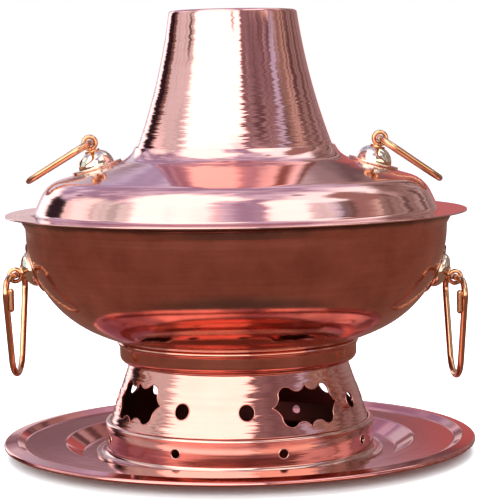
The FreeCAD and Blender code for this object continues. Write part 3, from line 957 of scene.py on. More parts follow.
@dataclass
class Tray:
    """The round tray: sunk well, shelf, sloping wall, bead and curled rim."""

    radius: float = 165.0 * MM
    sheet: float = 1.5 * MM
    well_radius: float = 109.0 * MM
    well_slope: float = 33.0
    shelf_height: float = 9.4 * MM
    wall_radius: float = 149.5 * MM
    wall_slope: float = 28.0
    bead_radius: float = 156.5 * MM
    rim_height: float = 12.0 * MM
    bend: float = 3.0 * MM
    bead_bend: float = 2.4 * MM
    curl_radius: float = 0.4 * MM
    curl_turn: float = 100.0

    def line(self) -> SheetLine:
        """The upper face's line.

        Returns:
            The line from the middle to the end of the curl.
        """
        line = SheetLine(0.0, self.sheet, 0.0)
        line.run_to_radius(self.well_radius)
        line.bend(self.bend, self.well_slope)
        rise = self.bend * (1.0 - math.cos(math.radians(self.well_slope)))
        line.run_to_height(self.shelf_height - rise)
        line.bend(self.bend, -self.well_slope)
        line.run_to_radius(self.wall_radius)
        line.bend(self.bend, self.wall_slope)
        line.run_to_radius(self.bead_radius - self.bead_bend * math.sin(math.radians(self.wall_slope)))
        top = line.end.height + self.bead_bend * (1.0 - math.cos(math.radians(self.wall_slope)))
        curl = self.curl_radius + self.sheet
        brim = self.radius - curl - self.bead_radius
        fall = math.degrees(math.atan2(max(top - self.rim_height, 1.0 * MM), brim))
        line.bend(self.bead_bend, -self.wall_slope - fall)
        line.run_to_radius(self.radius - curl * (1.0 + math.sin(math.radians(line.end.heading))))
        line.bend(curl, -self.curl_turn)
        return line

    def build(self) -> None:
        """Make the tray."""
        loop = self.line().section(0.0, self.sheet)
        dress(turned("tray_sheet", loop, 320), TRAY_COPPER, "tray", "tray")


@dataclass
class Stand:
    """The stand: base band and pierced skirt."""

    sheet: float = 1.2 * MM
    tray_sheet: float = 1.5 * MM
    flange_width: float = 6.7 * MM
    band_step: float = 3.7 * MM
    band_height: float = 24.7 * MM
    foot_bend: float = 3.6 * MM
    shoulder_bend: float = 2.2 * MM
    band_vent: float = 3.4 * MM
    band_vent_count: int = 8
    band_vent_height: float = 14.1 * MM
    band_vent_turn: float = 17.9
    top_radius: float = 76.6 * MM
    top_height: float = 64.5 * MM
    slope: float = 19.0
    tuck: float = 4.5 * MM
    neck_bend: float = 6.0 * MM
    neck_height: float = 82.0 * MM
    vent: float = 5.4 * MM
    vent_height: float = 40.8 * MM
    stations: int = 12
    turn: float = 3.3
    window_every: int = 3
    window_half_width: float = 26.2 * MM
    window_half_height: float = 14.5 * MM
    window_height: float = 42.9 * MM
    burr: float = 0.4 * MM
    columns: int = 240
    vent_points: int = 32
    lobe_points: int = 8
    band_seam: float = -5.0
    skirt_seam: float = -12.1
    outline: tuple = field(default=(
        (0.0, 1.0), (0.237, 0.68), (0.4, 0.78), (0.65, 0.873), (0.79, 0.43), (0.855, 0.21), (1.0, 0.0)))

    def skirt_line(self) -> SheetLine:
        """The skirt's outer line.

        Returns:
            The line from the tucked-in lower edge up into the foot ring.
        """
        drop = self.top_height - self.band_height + self.tuck
        spread = drop * math.tan(math.radians(self.slope))
        line = SheetLine(self.top_radius + spread, self.top_height - drop, 90.0 + self.slope)
        line.run_to_height(self.top_height)
        line.bend(self.neck_bend, -self.slope)
        line.run_to_height(self.neck_height)
        return line

    @property
    def band_radius(self) -> float:
        """The band's radius: its shoulder stands out from the skirt by a step."""
        return self.skirt_line().radius_at(self.band_height) + self.band_step

    def band_line(self) -> SheetLine:
        """The base band's outer line.

        Returns:
            The line from the flange's edge to the shoulder's end.
        """
        radius = self.band_radius
        line = SheetLine(radius + self.flange_width, self.tray_sheet + self.sheet, 180.0)
        line.run_to_radius(radius + self.foot_bend)
        line.bend(self.foot_bend, -90.0)
        line.run_to_height(self.band_height - self.shoulder_bend)
        line.bend(self.shoulder_bend, 90.0)
        line.run_to_radius(self.skirt_line().radius_at(self.band_height - self.sheet) + 0.05 * MM)
        return line

    def track_of(self, line: SheetLine, height: float) -> float:
        """The distance along a line at which it first reaches a height.

        Args:
            line: The line.
            height: The height.

        Returns:
            The distance along the line.
        """
        track = 0.0
        for before, after in zip(line.stations, line.stations[1:]):
            step = math.hypot(after.radius - before.radius, after.height - before.height)
            if before.height <= height < after.height:
                return track + step * (height - before.height) / (after.height - before.height)
            track += step
        raise ValueError("height not on line")

    def round_cut(self, line: SheetLine, vent: float, turn: float, height: float) -> list:
        """The outline of a round opening, as a drill held level makes it.

        Args:
            line: The line of the sheet.
            vent: The opening's radius.
            turn: Its angle from the front, in radians.
            height: Its height.

        Returns:
            The outline for pierced().
        """
        points = []
        for n in range(self.vent_points):
            angle = math.tau * n / self.vent_points
            level = height + vent * math.sin(angle)
            reach = vent * math.cos(angle) / line.radius_at(level)
            points.append((turn + reach, self.track_of(line, level)))
        return points

    def window_cut(self, line: SheetLine, turn: float) -> list:
        """The outline of a lobed window.

        Args:
            line: The line of the sheet.
            turn: Its angle from the front, in radians.

        Returns:
            The outline for pierced().
        """
        quarter = [(x * self.window_half_width, y * self.window_half_height) for x, y in self.outline]
        first = []
        for start in (0, 2, 4):
            first += arc_through(*quarter[start:start + 3], self.lobe_points)
        first.append(quarter[-1])
        right = first + [(x, -y) for x, y in reversed(first[:-1])]
        whole = right + [(-x, y) for x, y in reversed(right[1:-1])]
        points = []
        for x, y in whole:
            level = self.window_height + y
            reach = math.asin(x / line.radius_at(level))
            points.append((turn + reach, self.track_of(line, level)))
        return points

    def pierce(self, name: str, line: SheetLine, cuts: list, seam: float, finish: Metal) -> None:
        """Make one sheet of the stand, with the burrs of its openings.

        Args:
            name: The CAD node that it stands for.
            line: Its outer line.
            cuts: Its openings, as for pierced().
            seam: An angle from the front, in degrees, that no opening reaches.
            finish: Its finish.
        """
        shell = pierced(f"{name}_shell", line, self.sheet, cuts, self.columns, math.radians(seam))
        dress(merged(f"{name}_sheet", [shell, *lips(line, cuts, self.burr)]), finish, "pot", name)

    def build(self) -> None:
        """Make the band and the skirt."""
        band, skirt = self.band_line(), self.skirt_line()
        first, step = math.radians(self.band_vent_turn), math.tau / self.band_vent_count
        cuts = [self.round_cut(band, self.band_vent, first + step * n, self.band_vent_height)
                for n in range(self.band_vent_count)]
        self.pierce("base_band", band, cuts, self.band_seam, BAND_COPPER)
        first, step = math.radians(self.turn), math.tau / self.stations
        cuts = []
        for n in range(self.stations):
            turn = first + step * n
            if n % self.window_every == 1:
                cuts.append(self.window_cut(skirt, turn))
            else:
                cuts.append(self.round_cut(skirt, self.vent, turn, self.vent_height))
        self.pierce("stand_skirt", skirt, cuts, self.skirt_seam, BRUSHED_COPPER)


@dataclass
class Bowl:
    """The bowl and the foot ring under it."""

    sheet: float = 1.2 * MM
    bottom: float = 82.0 * MM
    hole_radius: float = 70.0 * MM
    flat_radius: float = 85.8 * MM
    foot_bend: float = 6.0 * MM
    foot_slope: float = 19.0
    belly_slope: float = 25.7
    wall_slope: float = 87.8
    lower_curve: float = 136.0 * MM
    belly_curve: float = 77.7 * MM
    neck_run: float = 4.0 * MM
    flare_slope: float = 60.0
    flare_bend: float = 3.0 * MM
    flare_run: float = 5.0 * MM
    lip_run: float = 0.7 * MM
    ring_sheet: float = 1.4 * MM
    ring_radius: float = 83.0 * MM
    ring_bottom: float = 65.0 * MM
    ring_bend: float = 5.5 * MM
    bead_height: float = 78.8 * MM
    bead_curve: float = 1.0 * MM
    bead_angle: float = 50.0
    lip_gap: float = 0.6 * MM
    # Width of the band of shade painted at the bowl's top, under the lid's brim.
    tarnish_width: float = 5.0 * MM

    def line(self) -> SheetLine:
        """The bowl's outer line.

        Returns:
            The line from the hole in the bottom up to the lip.
        """
        line = SheetLine(self.hole_radius, self.bottom, 0.0)
        line.run_to_radius(self.flat_radius)
        line.bend(self.foot_bend, self.foot_slope)
        line.bend(self.lower_curve, self.belly_slope - self.foot_slope)
        line.bend(self.belly_curve, self.wall_slope - self.belly_slope)
        line.run(self.neck_run)
        line.bend(self.flare_bend, self.flare_slope - self.wall_slope)
        line.run(self.flare_run)
        line.bend(self.flare_bend + self.sheet, -self.flare_slope)
        line.run(self.lip_run)
        return line

    @property
    def lip(self) -> tuple[float, float]:
        """The lip's radius and the height of its top."""
        end = self.line().end
        return end.radius, end.height + self.sheet

    def foot_ring_line(self, skirt: SheetLine) -> SheetLine:
        """The foot ring's outer line.

        Args:
            skirt: The line of the skirt inside it.

        Returns:
            The line from the lip at the skirt up to the bowl.
        """
        line = SheetLine(skirt.radius_at(self.ring_bottom) + self.lip_gap, self.ring_bottom, 0.0)
        line.run_to_radius(self.ring_radius - self.ring_bend)
        line.bend(self.ring_bend, 90.0)
        crest = self.bead_curve + self.ring_sheet
        half = (self.bead_curve + crest) * math.sin(math.radians(self.bead_angle))
        line.run_to_height(self.bead_height - half)
        line.bend(self.bead_curve, -self.bead_angle)
        line.bend(crest, 2.0 * self.bead_angle)
        line.bend(self.bead_curve, -self.bead_angle)
        line.run_to_height(self.bottom)
        return line

    def build(self, skirt: SheetLine) -> None:
        """Make the bowl and the foot ring.

        Args:
            skirt: The line of the skirt inside the foot ring.
        """
        # The bowl's copper, with a band of painted shade at its top where the lid's brim shades it.
        lip_shaded = replace(
            SATIN_COPPER, name="bowl_copper", tarnish_height=self.lip[1] - self.tarnish_width)
        dress(turned("bowl_sheet", self.line().section(self.sheet), 320), lip_shaded, "pot", "bowl")
        ring = self.foot_ring_line(skirt).section(self.ring_sheet)
        dress(turned("foot_ring_sheet", ring, 256), SATIN_COPPER, "pot", "foot_ring")


@dataclass
class Chimney:
    """The furnace and chimney, one spun tube."""

    sheet: float = 1.5 * MM
    floor: float = 83.2 * MM
    radius: float = 77.5 * MM
    foot_radius: float = 82.0 * MM
    foot_bend: float = 3.0 * MM
    shoulder_rise: float = 4.2 * MM
    shoulder_curve: float = 90.0 * MM
    shoulder_turn: float = 21.7
    mouth_radius: float = 44.5 * MM
    height: float = 308.5 * MM
    roll_radius: float = 2.4 * MM
    roll_turn: float = 80.0

    def line(self, lip_height: float) -> SheetLine:
        """The outer line.

        Args:
            lip_height: The height of the bowl's lip.

        Returns:
            The line from the foot flange to the rolled mouth.
        """
        line = SheetLine(self.foot_radius, self.floor + self.sheet, 180.0)
        line.run_to_radius(self.radius + self.foot_bend)
        line.bend(self.foot_bend, -90.0)
        line.run_to_height(lip_height + self.shoulder_rise)
        line.bend(self.shoulder_curve, self.shoulder_turn)
        line.bend_to(self.mouth_radius, self.height - self.roll_radius)
        line.bend(self.roll_radius, self.roll_turn)
        return line

    def build(self, line: SheetLine) -> None:
        """Make the tube, and give the grate in it its iron.

        Args:
            line: The tube's outer line.
        """
        loop = line.section(self.sheet)
        dress(turned("furnace_chimney_sheet", loop, 256), CHIMNEY_COPPER, "pot", "furnace_chimney")
        coat(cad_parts["fire_grate"], CAST_IRON)


@dataclass
class Lid:
    """The domed lid with its flat brim and its collar."""

    sheet: float = 1.2 * MM
    overhang: float = 6.2 * MM
    brim_width: float = 16.4 * MM
    brim_bend: float = 4.0 * MM
    side_slope: float = 65.0
    shoulder_rise: float = 23.6 * MM
    shoulder_curve: float = 22.0 * MM
    top_slope: float = 16.0
    collar_slope: float = 62.0
    collar_curve: float = 17.0 * MM
    collar_rise: float = 44.9 * MM
    collar_gap: float = 0.5 * MM

    def line(self, lip: tuple[float, float], chimney: SheetLine) -> SheetLine:
        """The outer line.

        Args:
            lip: The radius and the height of the bowl's lip.
            chimney: The line of the chimney that the collar goes round.

        Returns:
            The line from the brim's edge to the collar's.
        """
        brim = lip[1] + self.sheet
        collar = brim + self.collar_rise
        line = SheetLine(lip[0] + self.overhang, brim, 180.0)
        line.run(self.brim_width)
        line.bend(self.brim_bend, -self.side_slope)
        side, top, rise = (math.radians(a) for a in (self.side_slope, self.top_slope, self.collar_slope))
        crest = self.shoulder_curve * (math.cos(top) - math.cos(side))
        line.run_to_height(brim + self.shoulder_rise - crest)
        line.bend(self.shoulder_curve, self.side_slope - self.top_slope)
        edge = chimney.radius_at(collar) + self.collar_gap + self.sheet / math.sin(rise)
        reach = self.collar_curve * (math.sin(rise) - math.sin(top))
        lift = self.collar_curve * (math.cos(top) - math.cos(rise))
        level = collar - line.end.height - lift
        span = line.end.radius - edge - reach
        line.run((span - level / math.tan(rise)) / (math.cos(top) - math.sin(top) / math.tan(rise)))
        line.bend(self.collar_curve, self.top_slope - self.collar_slope)
        line.run_to_height(collar)
        return line

    def build(self, line: SheetLine) -> None:
        """Make the lid's sheet.

        Args:
            line: The lid's outer line.
        """
        loop = line.section(self.sheet)
        dress(turned("lid_sheet", loop, 320), POLISHED_COPPER, "lid", "lid")


# Handles


@dataclass
class Handle:
    """One ring handle: plate, boss, eye and ring on a spun sheet."""

    name: str
    side: Side
    body: str
    seat: Vector
    normal: Vector
    line: SheetLine
    boss_height: float
    ring_half_width: float
    ring_drop: float
    ring_bottom_curve: float
    bar: Vector
    hang: Vector
    with_tail: bool = False
    plate_radius: float = 17.8 * MM
    plate_thickness: float = 1.8 * MM
    boss_radius: float = 12.5 * MM
    boss_edge: float = 1.0 * MM
    collar_radius: float = 5.4 * MM
    collar_height: float = 1.2 * MM
    eye_wire: float = 1.5 * MM
    eye_hole: float = 2.8 * MM
    eye_sink: float = 0.5 * MM
    ring_wire: float = 2.25 * MM
    corner_curve: float = 10.0 * MM
    tail_length: float = 12.5 * MM
    tail_offset: float = 3.7 * MM
    tail_wire: float = 2.0 * MM
    plate_edge: float = 0.5 * MM
    plate_lift: float = 0.02 * MM
    boss_sink: float = 1.2 * MM
    collar_edge: float = 0.35 * MM
    shank_radius: float = 2.0 * MM
    shank_depth: float = 5.0 * MM

    def axis(self) -> Matrix:
        """The frame on the sheet: Z out of it, Y along the pot's Y."""
        across = Vector((0.0, 1.0, 0.0)).cross(self.normal)
        turn = Matrix((across, (0.0, 1.0, 0.0), self.normal)).transposed().to_4x4()
        return Matrix.Translation(self.seat) @ turn

    @property
    def eye_height(self) -> float:
        """The eye's distance from the sheet."""
        base = self.plate_thickness + self.boss_height + self.collar_height
        return base + self.eye_hole + 2.0 * self.eye_wire - self.eye_sink

    @property
    def eye(self) -> Vector:
        """The middle of the eye."""
        return self.seat + self.normal * self.eye_height

    def surface(self, across: float, along: float, lift: float) -> tuple[Vector, Vector]:
        """A point over the sheet near the handle, and its normal.

        Args:
            across: Distance from the handle's axis along Y.
            along: Distance from it along the sheet's section.
            lift: Distance out of the sheet.

        Returns:
            The point and the sheet's normal there.
        """
        hand, radius, height = self.side.value, abs(self.seat.x), self.seat.z
        tracks, stations = self.line.tracks(), self.line.stations
        nearest = min(range(len(tracks)), key=lambda n: math.hypot(
            stations[n].radius - radius, stations[n].height - height))
        at = stations[nearest]
        heading = math.radians(at.heading)
        offset = (radius - at.radius) * math.cos(heading) + (height - at.height) * math.sin(heading)
        here = station_at(self.line, tracks, tracks[nearest] + offset + along)
        angle = math.asin(across / here.radius)
        out, up = math.sin(math.radians(here.heading)), -math.cos(math.radians(here.heading))
        normal = Vector((hand * out * math.cos(angle), out * math.sin(angle), up))
        foot = Vector((hand * here.radius * math.cos(angle), across, here.height))
        return foot + normal * lift, normal

    def plate(self) -> bpy.types.Object:
        """The round plate, dished to the sheet.

        Returns:
            The plate.
        """
        edge = self.plate_edge
        rows = [(0.0, self.plate_thickness, 0.0), (self.plate_radius * 0.6, self.plate_thickness, 0.0)]
        for step in range(7):
            angle = math.radians(15.0 * step)
            rows.append((self.plate_radius - edge + edge * math.sin(angle),
                         self.plate_thickness - edge + edge * math.cos(angle), angle))
        rows.append((self.plate_radius, self.plate_lift, math.pi / 2.0))
        points, normals, faces = [], [], []
        sides = 64
        for reach, lift, lean in rows:
            for n in range(sides):
                angle = math.tau * n / sides
                across, along = math.sin(angle), math.cos(angle)
                point, normal = self.surface(reach * across, reach * along, lift)
                outward, _ = self.surface((reach + 1e-5) * across, (reach + 1e-5) * along, lift)
                away = (outward - point).normalized()
                points.append(point)
                normals.append((normal * math.cos(lean) + away * math.sin(lean)).normalized())
        for row in range(len(rows) - 1):
            for n in range(sides):
                here, there = row * sides, (row + 1) * sides
                m = (n + 1) % sides
                faces.append((here + n, here + m, there + m, there + n))
        base = len(points)
        for n in range(sides):
            points.append(points[(len(rows) - 1) * sides + n])
            normals.append(-self.normal)
        faces.append(tuple(base + n for n in range(sides)))
        if self.side is Side.LEFT:
            faces = [tuple(reversed(face)) for face in faces]
        return tidy_mesh(new_object(f"{self.name}_plate_disc", points, faces, normals))

    def boss(self) -> bpy.types.Object:
        """The domed boss with a small collar on its top.

        Returns:
            The boss.
        """
        base, top = self.plate_thickness, self.plate_thickness + self.boss_height
        crown, rim = self.collar_radius, self.boss_radius
        low, edge = base - self.boss_sink, base + self.boss_edge
        loop = [Facing(0.0, low, (0.0, -1.0)), Facing(rim, low, (0.7, -0.7)),
                Facing(rim, base, (1.0, 0.0)), Facing(rim, base + 0.6 * self.boss_edge, (1.0, 0.0))]
        middle = ((rim + crown) / 2.0 + self.boss_height * 0.13, edge + self.boss_height * 0.56)
        arc = arc_through((rim, edge), middle, (crown, top), 18) + [(crown, top)]
        for number, (radius, height) in enumerate(arc):
            before, after = arc[max(number - 1, 0)], arc[min(number + 1, len(arc) - 1)]
            slope = math.atan2(after[1] - before[1], after[0] - before[0])
            loop.append(Facing(radius, height, (math.sin(slope), -math.cos(slope))))
        loop.append(Facing(crown * 0.8, top, (0.0, 1.0)))
        loop.append(Facing(0.0, top, (0.0, 1.0)))
        return turned(f"{self.name}_boss_dome", loop, 96, self.axis())

    def eye_bolt(self) -> bpy.types.Object:
        """The eye with its collar and the shank inside.

        Returns:
            The eye bolt.
        """
        seat, edge, rim = self.plate_thickness + self.boss_height, self.collar_edge, self.collar_radius
        top = seat + self.collar_height
        neck = self.eye_wire * 1.5
        loop = [
            Facing(0.0, seat, (0.0, -1.0)),
            Facing(rim - edge, seat, (0.0, -1.0)),
            Facing(rim, seat + edge, (1.0, 0.0)),
            Facing(rim, top - edge, (1.0, 0.0)),
            Facing(rim - edge, top, (0.4, 0.9)),
            Facing(neck + 0.6 * MM, top, (0.1, 1.0)),
            Facing(neck, top + 0.5 * MM, (0.8, 0.6)),
            Facing(self.eye_wire, top + 1.3 * MM, (0.95, 0.3)),
            Facing(0.0, top + 1.6 * MM, (0.0, 1.0)),
        ]
        axis = self.axis()
        collar = turned("collar", loop, 48, axis)
        mean = self.eye_hole + self.eye_wire
        path = []
        for n in range(40):
            angle = math.tau * n / 40
            across, out = mean * math.cos(angle), self.eye_height + mean * math.sin(angle)
            path.append(axis @ Vector((across, 0.0, out)))
        eye = tube("loop", path, self.eye_wire, True, 16)
        shank = [axis @ Vector((0.0, 0.0, z)) for z in (seat - 0.5 * MM, 0.0, -self.shank_depth)]
        stem = tube("stem", shank, self.shank_radius, False, 16)
        return merged(f"{self.name}_eye_bolt", [collar, eye, stem])

    def ring_path(self) -> list[Vector]:
        """The middle line of the ring's wire.

        Returns:
            Points round the ring, from the middle of its bar.
        """
        corner, bottom = self.corner_curve, self.ring_bottom_curve
        high = Vector((self.ring_half_width - corner, corner))
        low = Vector((0.0, self.ring_drop - bottom))
        between = low - high
        lean = math.atan2(between.y, between.x)
        start = lean - math.acos((corner - bottom) / between.length)
        half = []
        for n in range(5):
            half.append((high.x * n / 5.0, 0.0))
        for n in range(13):
            angle = -math.pi / 2.0 + (start + math.pi / 2.0) * n / 12.0
            half.append((high.x + corner * math.cos(angle), high.y + corner * math.sin(angle)))
        top = Vector(half[-1])
        foot = low + Vector((math.cos(start), math.sin(start))) * bottom
        for n in range(1, 12):
            half.append(tuple(top.lerp(foot, n / 12.0)))
        for n in range(14):
            angle = start + (math.pi / 2.0 - start) * n / 14.0
            half.append((low.x + bottom * math.cos(angle), low.y + bottom * math.sin(angle)))
        half.append((0.0, self.ring_drop))
        whole = half + [(-x, y) for x, y in reversed(half[1:-1])]
        return [self.eye + self.bar * x + self.hang * y for x, y in whole]

    def ring(self) -> bpy.types.Object:
        """The ring of wire.

        Returns:
            The ring.
        """
        ring = tube("ring", self.ring_path(), self.ring_wire, True)
        if not self.with_tail:
            ring.name = f"{self.name}_ring_wire"
            ring.data.name = ring.name
            return ring
        inward = Vector((-self.side.value, 0.0, 0.0))
        near = self.eye - self.bar * self.ring_half_width + inward * self.tail_offset
        top = near - Vector((0.0, 0.0, self.corner_curve - self.tail_wire))
        tail = tube("tail", [top, top - Vector((0.0, 0.0, self.tail_length))], self.tail_wire, False)
        return merged(f"{self.name}_ring_wire", [ring, tail])

    def build(self) -> None:
        """Make the handle's pieces, and give its nut its brass."""
        dress(self.plate(), MIRROR_BRASS, self.body, f"{self.name}_plate")
        dress(self.boss(), MIRROR_BRASS, self.body, f"{self.name}_boss")
        dress(self.eye_bolt(), WARM_BRASS, self.body, f"{self.name}_eye")
        dress(self.ring(), WARM_BRASS, f"{self.name}_ring", f"{self.name}_ring")
        coat(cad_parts[f"{self.name}_nut"], WARM_BRASS)


def tidy_mesh(piece: bpy.types.Object) -> bpy.types.Object:
    """Merge the points that lie on each other, and drop faces without area.

    Args:
        piece: The object.

    Returns:
        The same object.
    """
    made = bmesh.new()
    made.from_mesh(piece.data)
    bmesh.ops.remove_doubles(made, verts=made.verts, dist=1e-7)
    bmesh.ops.dissolve_degenerate(made, edges=made.edges, dist=1e-8)
    made.to_mesh(piece.data)
    made.free()
    return piece


@dataclass
class Handles:
    """The four ring handles."""

    bowl_slopes: tuple[float, float] = (69.7, 65.5)
    bowl_boss: float = 6.2 * MM
    lid_boss: float = 10.0 * MM
    lid_seat_inset: float = 25.7 * MM
    lid_tilts: tuple[float, float] = (31.0, 34.5)
    toe: float = 7.0
    bowl_ring: tuple[float, float, float] = (29.0 * MM, 69.0 * MM, 16.5 * MM)
    lid_ring: tuple[float, float, float] = (22.0 * MM, 50.0 * MM, 14.0 * MM)

    def bowl_handle(self, side: Side, line: SheetLine, slope: float) -> Handle:
        """A handle on the bowl's wall.

        Args:
            side: Which side.
            line: The bowl's outer line.
            slope: The wall's slope where it sits, in degrees.

        Returns:
            The handle.
        """
        hand, angle, toe = side.value, math.radians(slope), math.radians(self.toe)
        pairs = zip(line.stations, line.stations[1:])
        before, at = next((a, b) for a, b in pairs if a.heading <= slope <= b.heading)
        share = (slope - before.heading) / (at.heading - before.heading)
        seat = Vector((hand * (before.radius + (at.radius - before.radius) * share), 0.0,
                       before.height + (at.height - before.height) * share))
        normal = Vector((hand * math.sin(angle), 0.0, -math.cos(angle)))
        return Handle(
            f"bowl_{side.label}", side, "pot", seat, normal, line, self.bowl_boss, *self.bowl_ring,
            bar=Vector((-hand * math.sin(toe), math.cos(toe), 0.0)), hang=Vector((0.0, 0.0, -1.0)),
            with_tail=True)

    def lid_handle(self, side: Side, line: SheetLine, top_slope: float, tilt_degrees: float) -> Handle:
        """A handle on the lid.

        Args:
            side: Which side.
            line: The lid's outer line.
            top_slope: The slope of the lid's upper cone, in degrees.
            tilt_degrees: How far the ring leans down, in degrees.

        Returns:
            The handle.
        """
        hand, angle, tilt = side.value, math.radians(top_slope), math.radians(tilt_degrees)
        cone = [at for at in line.stations if abs(at.heading - (180.0 - top_slope)) < 0.01]
        reach = cone[0].radius - self.lid_seat_inset
        height = cone[0].height + self.lid_seat_inset * math.tan(angle)
        return Handle(
            f"lid_{side.label}", side, "lid", Vector((hand * reach, 0.0, height)),
            Vector((hand * math.sin(angle), 0.0, math.cos(angle))), line, self.lid_boss, *self.lid_ring,
            bar=Vector((0.0, 1.0, 0.0)), hang=Vector((hand * math.cos(tilt), 0.0, -math.sin(tilt))))

    def build(self, bowl: SheetLine, lid: SheetLine, top_slope: float) -> None:
        """Make all four.

        Args:
            bowl: The bowl's outer line.
            lid: The lid's outer line.
            top_slope: The slope of the lid's upper cone, in degrees.
        """
        for side, slope, tilt in zip(Side, self.bowl_slopes, self.lid_tilts):
            self.bowl_handle(side, bowl, slope).build()
            self.lid_handle(side, lid, top_slope, tilt).build()


# Studio


@dataclass(frozen=True)
class Patch:
    """A ragged patch of light or dark somewhere round the studio."""

    toward: tuple[float, float, float]
    size: float
    softness: float
    ragged: float
    color: tuple[float, float, float]


@dataclass
class Studio:
    """The photograph's camera, the floor and the light."""

    image_height: float = 500.0
    focal_pixels: float = 1931.571
    distance: float = 1.34587
    camera_height: float = 0.25936
    pitch: float = 5.0
    yaw: float = 0.0867
    roll: float = -0.9594
    sensor: float = 36.0
    floor_half: float = 6.0
    floor_drop: float = 0.2 * MM

    WALLS: ClassVar[list] = [
        (0.00, (0.36, 0.28, 0.34)), (0.024, (0.36, 0.28, 0.34)), (0.03, (0.75, 0.86, 1.05)),
        (0.06, (0.85, 0.95, 1.15)), (0.066, (2.0, 1.9, 2.0)), (0.10, (2.0, 1.9, 2.0)),
        (0.11, (0.03, 0.02, 0.03)), (0.155, (0.03, 0.02, 0.03)), (0.165, (0.25, 0.16, 0.13)),
        (0.18, (0.25, 0.16, 0.13)), (0.185, (0.95, 1.1, 1.2)), (0.30, (1.05, 1.25, 1.35)),
        (0.31, (3.0, 3.0, 3.0)), (0.532, (3.0, 3.0, 3.0)), (0.535, (0.33, 0.27, 0.33)),
        (0.672, (0.36, 0.29, 0.34)), (0.675, (0.72, 0.86, 1.2)), (0.706, (0.72, 0.86, 1.2)),
        (0.71, (0.40, 0.34, 0.30)), (0.745, (0.44, 0.38, 0.34)), (0.75, (0.80, 0.72, 0.66)),
        (0.775, (0.80, 0.72, 0.66)), (0.78, (0.34, 0.30, 0.28)), (0.84, (0.44, 0.40, 0.40)),
        (0.85, (0.38, 0.32, 0.32)), (0.97, (0.45, 0.34, 0.34)), (0.98, (0.34, 0.27, 0.32)),
        (1.00, (0.36, 0.28, 0.34))]
    SKY_LEFT: ClassVar[tuple] = (0.90, 0.94, 1.28, 1.0)
    DUSK: ClassVar[tuple] = (0.46, 0.40, 0.66, 1.0)
    SKY_RIGHT: ClassVar[tuple] = (1.6, 1.9, 2.1, 1.0)
    HORIZON: ClassVar[list] = [
        (0.02, (0.9, 0.7, 0.7)), (0.11, (0.75, 0.6, 0.65)), (0.125, (0.30, 0.20, 0.22)),
        (0.165, (0.36, 0.24, 0.28)), (0.175, (0.16, 0.09, 0.10)), (0.185, (0.20, 0.12, 0.14)),
        (0.195, (0.55, 0.42, 0.50)), (0.215, (0.50, 0.38, 0.46)), (0.23, (0.95, 0.85, 0.95)),
        (0.30, (0.70, 0.62, 0.72)), (0.40, (0.60, 0.60, 0.80))]
    EMBER: ClassVar[tuple] = (0.55, 0.16, 0.16, 1.0)
    LOW_CARD: ClassVar[tuple] = (2.0, 1.7, 1.5, 1.0)
    GROUND: ClassVar[tuple] = (0.25, 0.135, 0.105, 1.0)
    UNDER: ClassVar[tuple] = (0.11, 0.09, 0.08, 1.0)
    STREAK: ClassVar[tuple] = (0.13, 0.08, 0.09, 1.0)
    GLINT: ClassVar[tuple] = (0.85, 0.78, 0.85, 1.0)
    BACKDROP: ClassVar[tuple] = (1.0, 1.0, 1.0, 1.0)
    PAPER: ClassVar[tuple] = (0.93, 0.93, 0.93, 1.0)
    PAPER_ROUGHNESS: ClassVar[float] = 0.9
    PAPER_SPECULAR: ClassVar[float] = 0.1
    LAMPS: ClassVar[tuple] = (
        ("overhead", (0.0, 0.1, 1.6), (0.0, 0.0, 0.1), (1.6, 1.6), 40.0),
        ("front", (0.0, -1.8, 0.7), (0.0, -0.25, 0.0), (1.8, 0.6), 50.0))
    PATCHES: ClassVar[tuple] = (
        Patch((-0.40, -0.30, 0.86), 0.50, 0.35, 0.9, (2.3, 2.3, 2.4)),
        Patch((-0.80, 0.30, 0.50), 0.22, 0.5, 0.5, (1.7, 1.7, 1.8)),
        Patch((-0.62, 0.55, 0.55), 0.05, 0.5, 0.12, (0.20, 0.10, 0.12)),
        Patch((0.40, -0.50, 0.77), 0.24, 0.4, 0.3, (2.2, 2.2, 2.3)),
        Patch((0.70, 0.08, 0.70), 0.28, 0.3, 0.4, (0.42, 0.29, 0.29)),
        Patch((0.36, -0.05, 0.93), 0.07, 0.5, 0.15, (0.20, 0.10, 0.12)),
        Patch((-0.938, -0.179, 0.29), 0.075, 0.5, 0.15, (0.12, 0.06, 0.04)),
        Patch((0.0, -0.94, 0.33), 0.055, 0.5, 0.12, (0.34, 0.20, 0.13)))

    def camera(self) -> None:
        """Place the camera."""
        pitch, yaw, roll = (math.radians(a) for a in (self.pitch, self.yaw, self.roll))
        ahead = Vector((math.sin(yaw) * math.cos(pitch), math.cos(yaw) * math.cos(pitch), -math.sin(pitch)))
        right = Vector((math.cos(yaw), -math.sin(yaw), 0.0))
        up = right.cross(ahead)
        tilted = right * math.cos(roll) + up * math.sin(roll)
        upright = up * math.cos(roll) - right * math.sin(roll)
        data = bpy.data.cameras.new("camera")
        data.sensor_width = self.sensor
        data.lens = self.focal_pixels * self.sensor / self.image_height
        made = bpy.data.objects.new("camera", data)
        turn = Matrix((tilted, upright, -ahead)).transposed().to_4x4()
        made.matrix_world = Matrix.Translation((0.0, -self.distance, self.camera_height)) @ turn
        bpy.context.scene.collection.objects.link(made)
        bpy.context.scene.camera = made

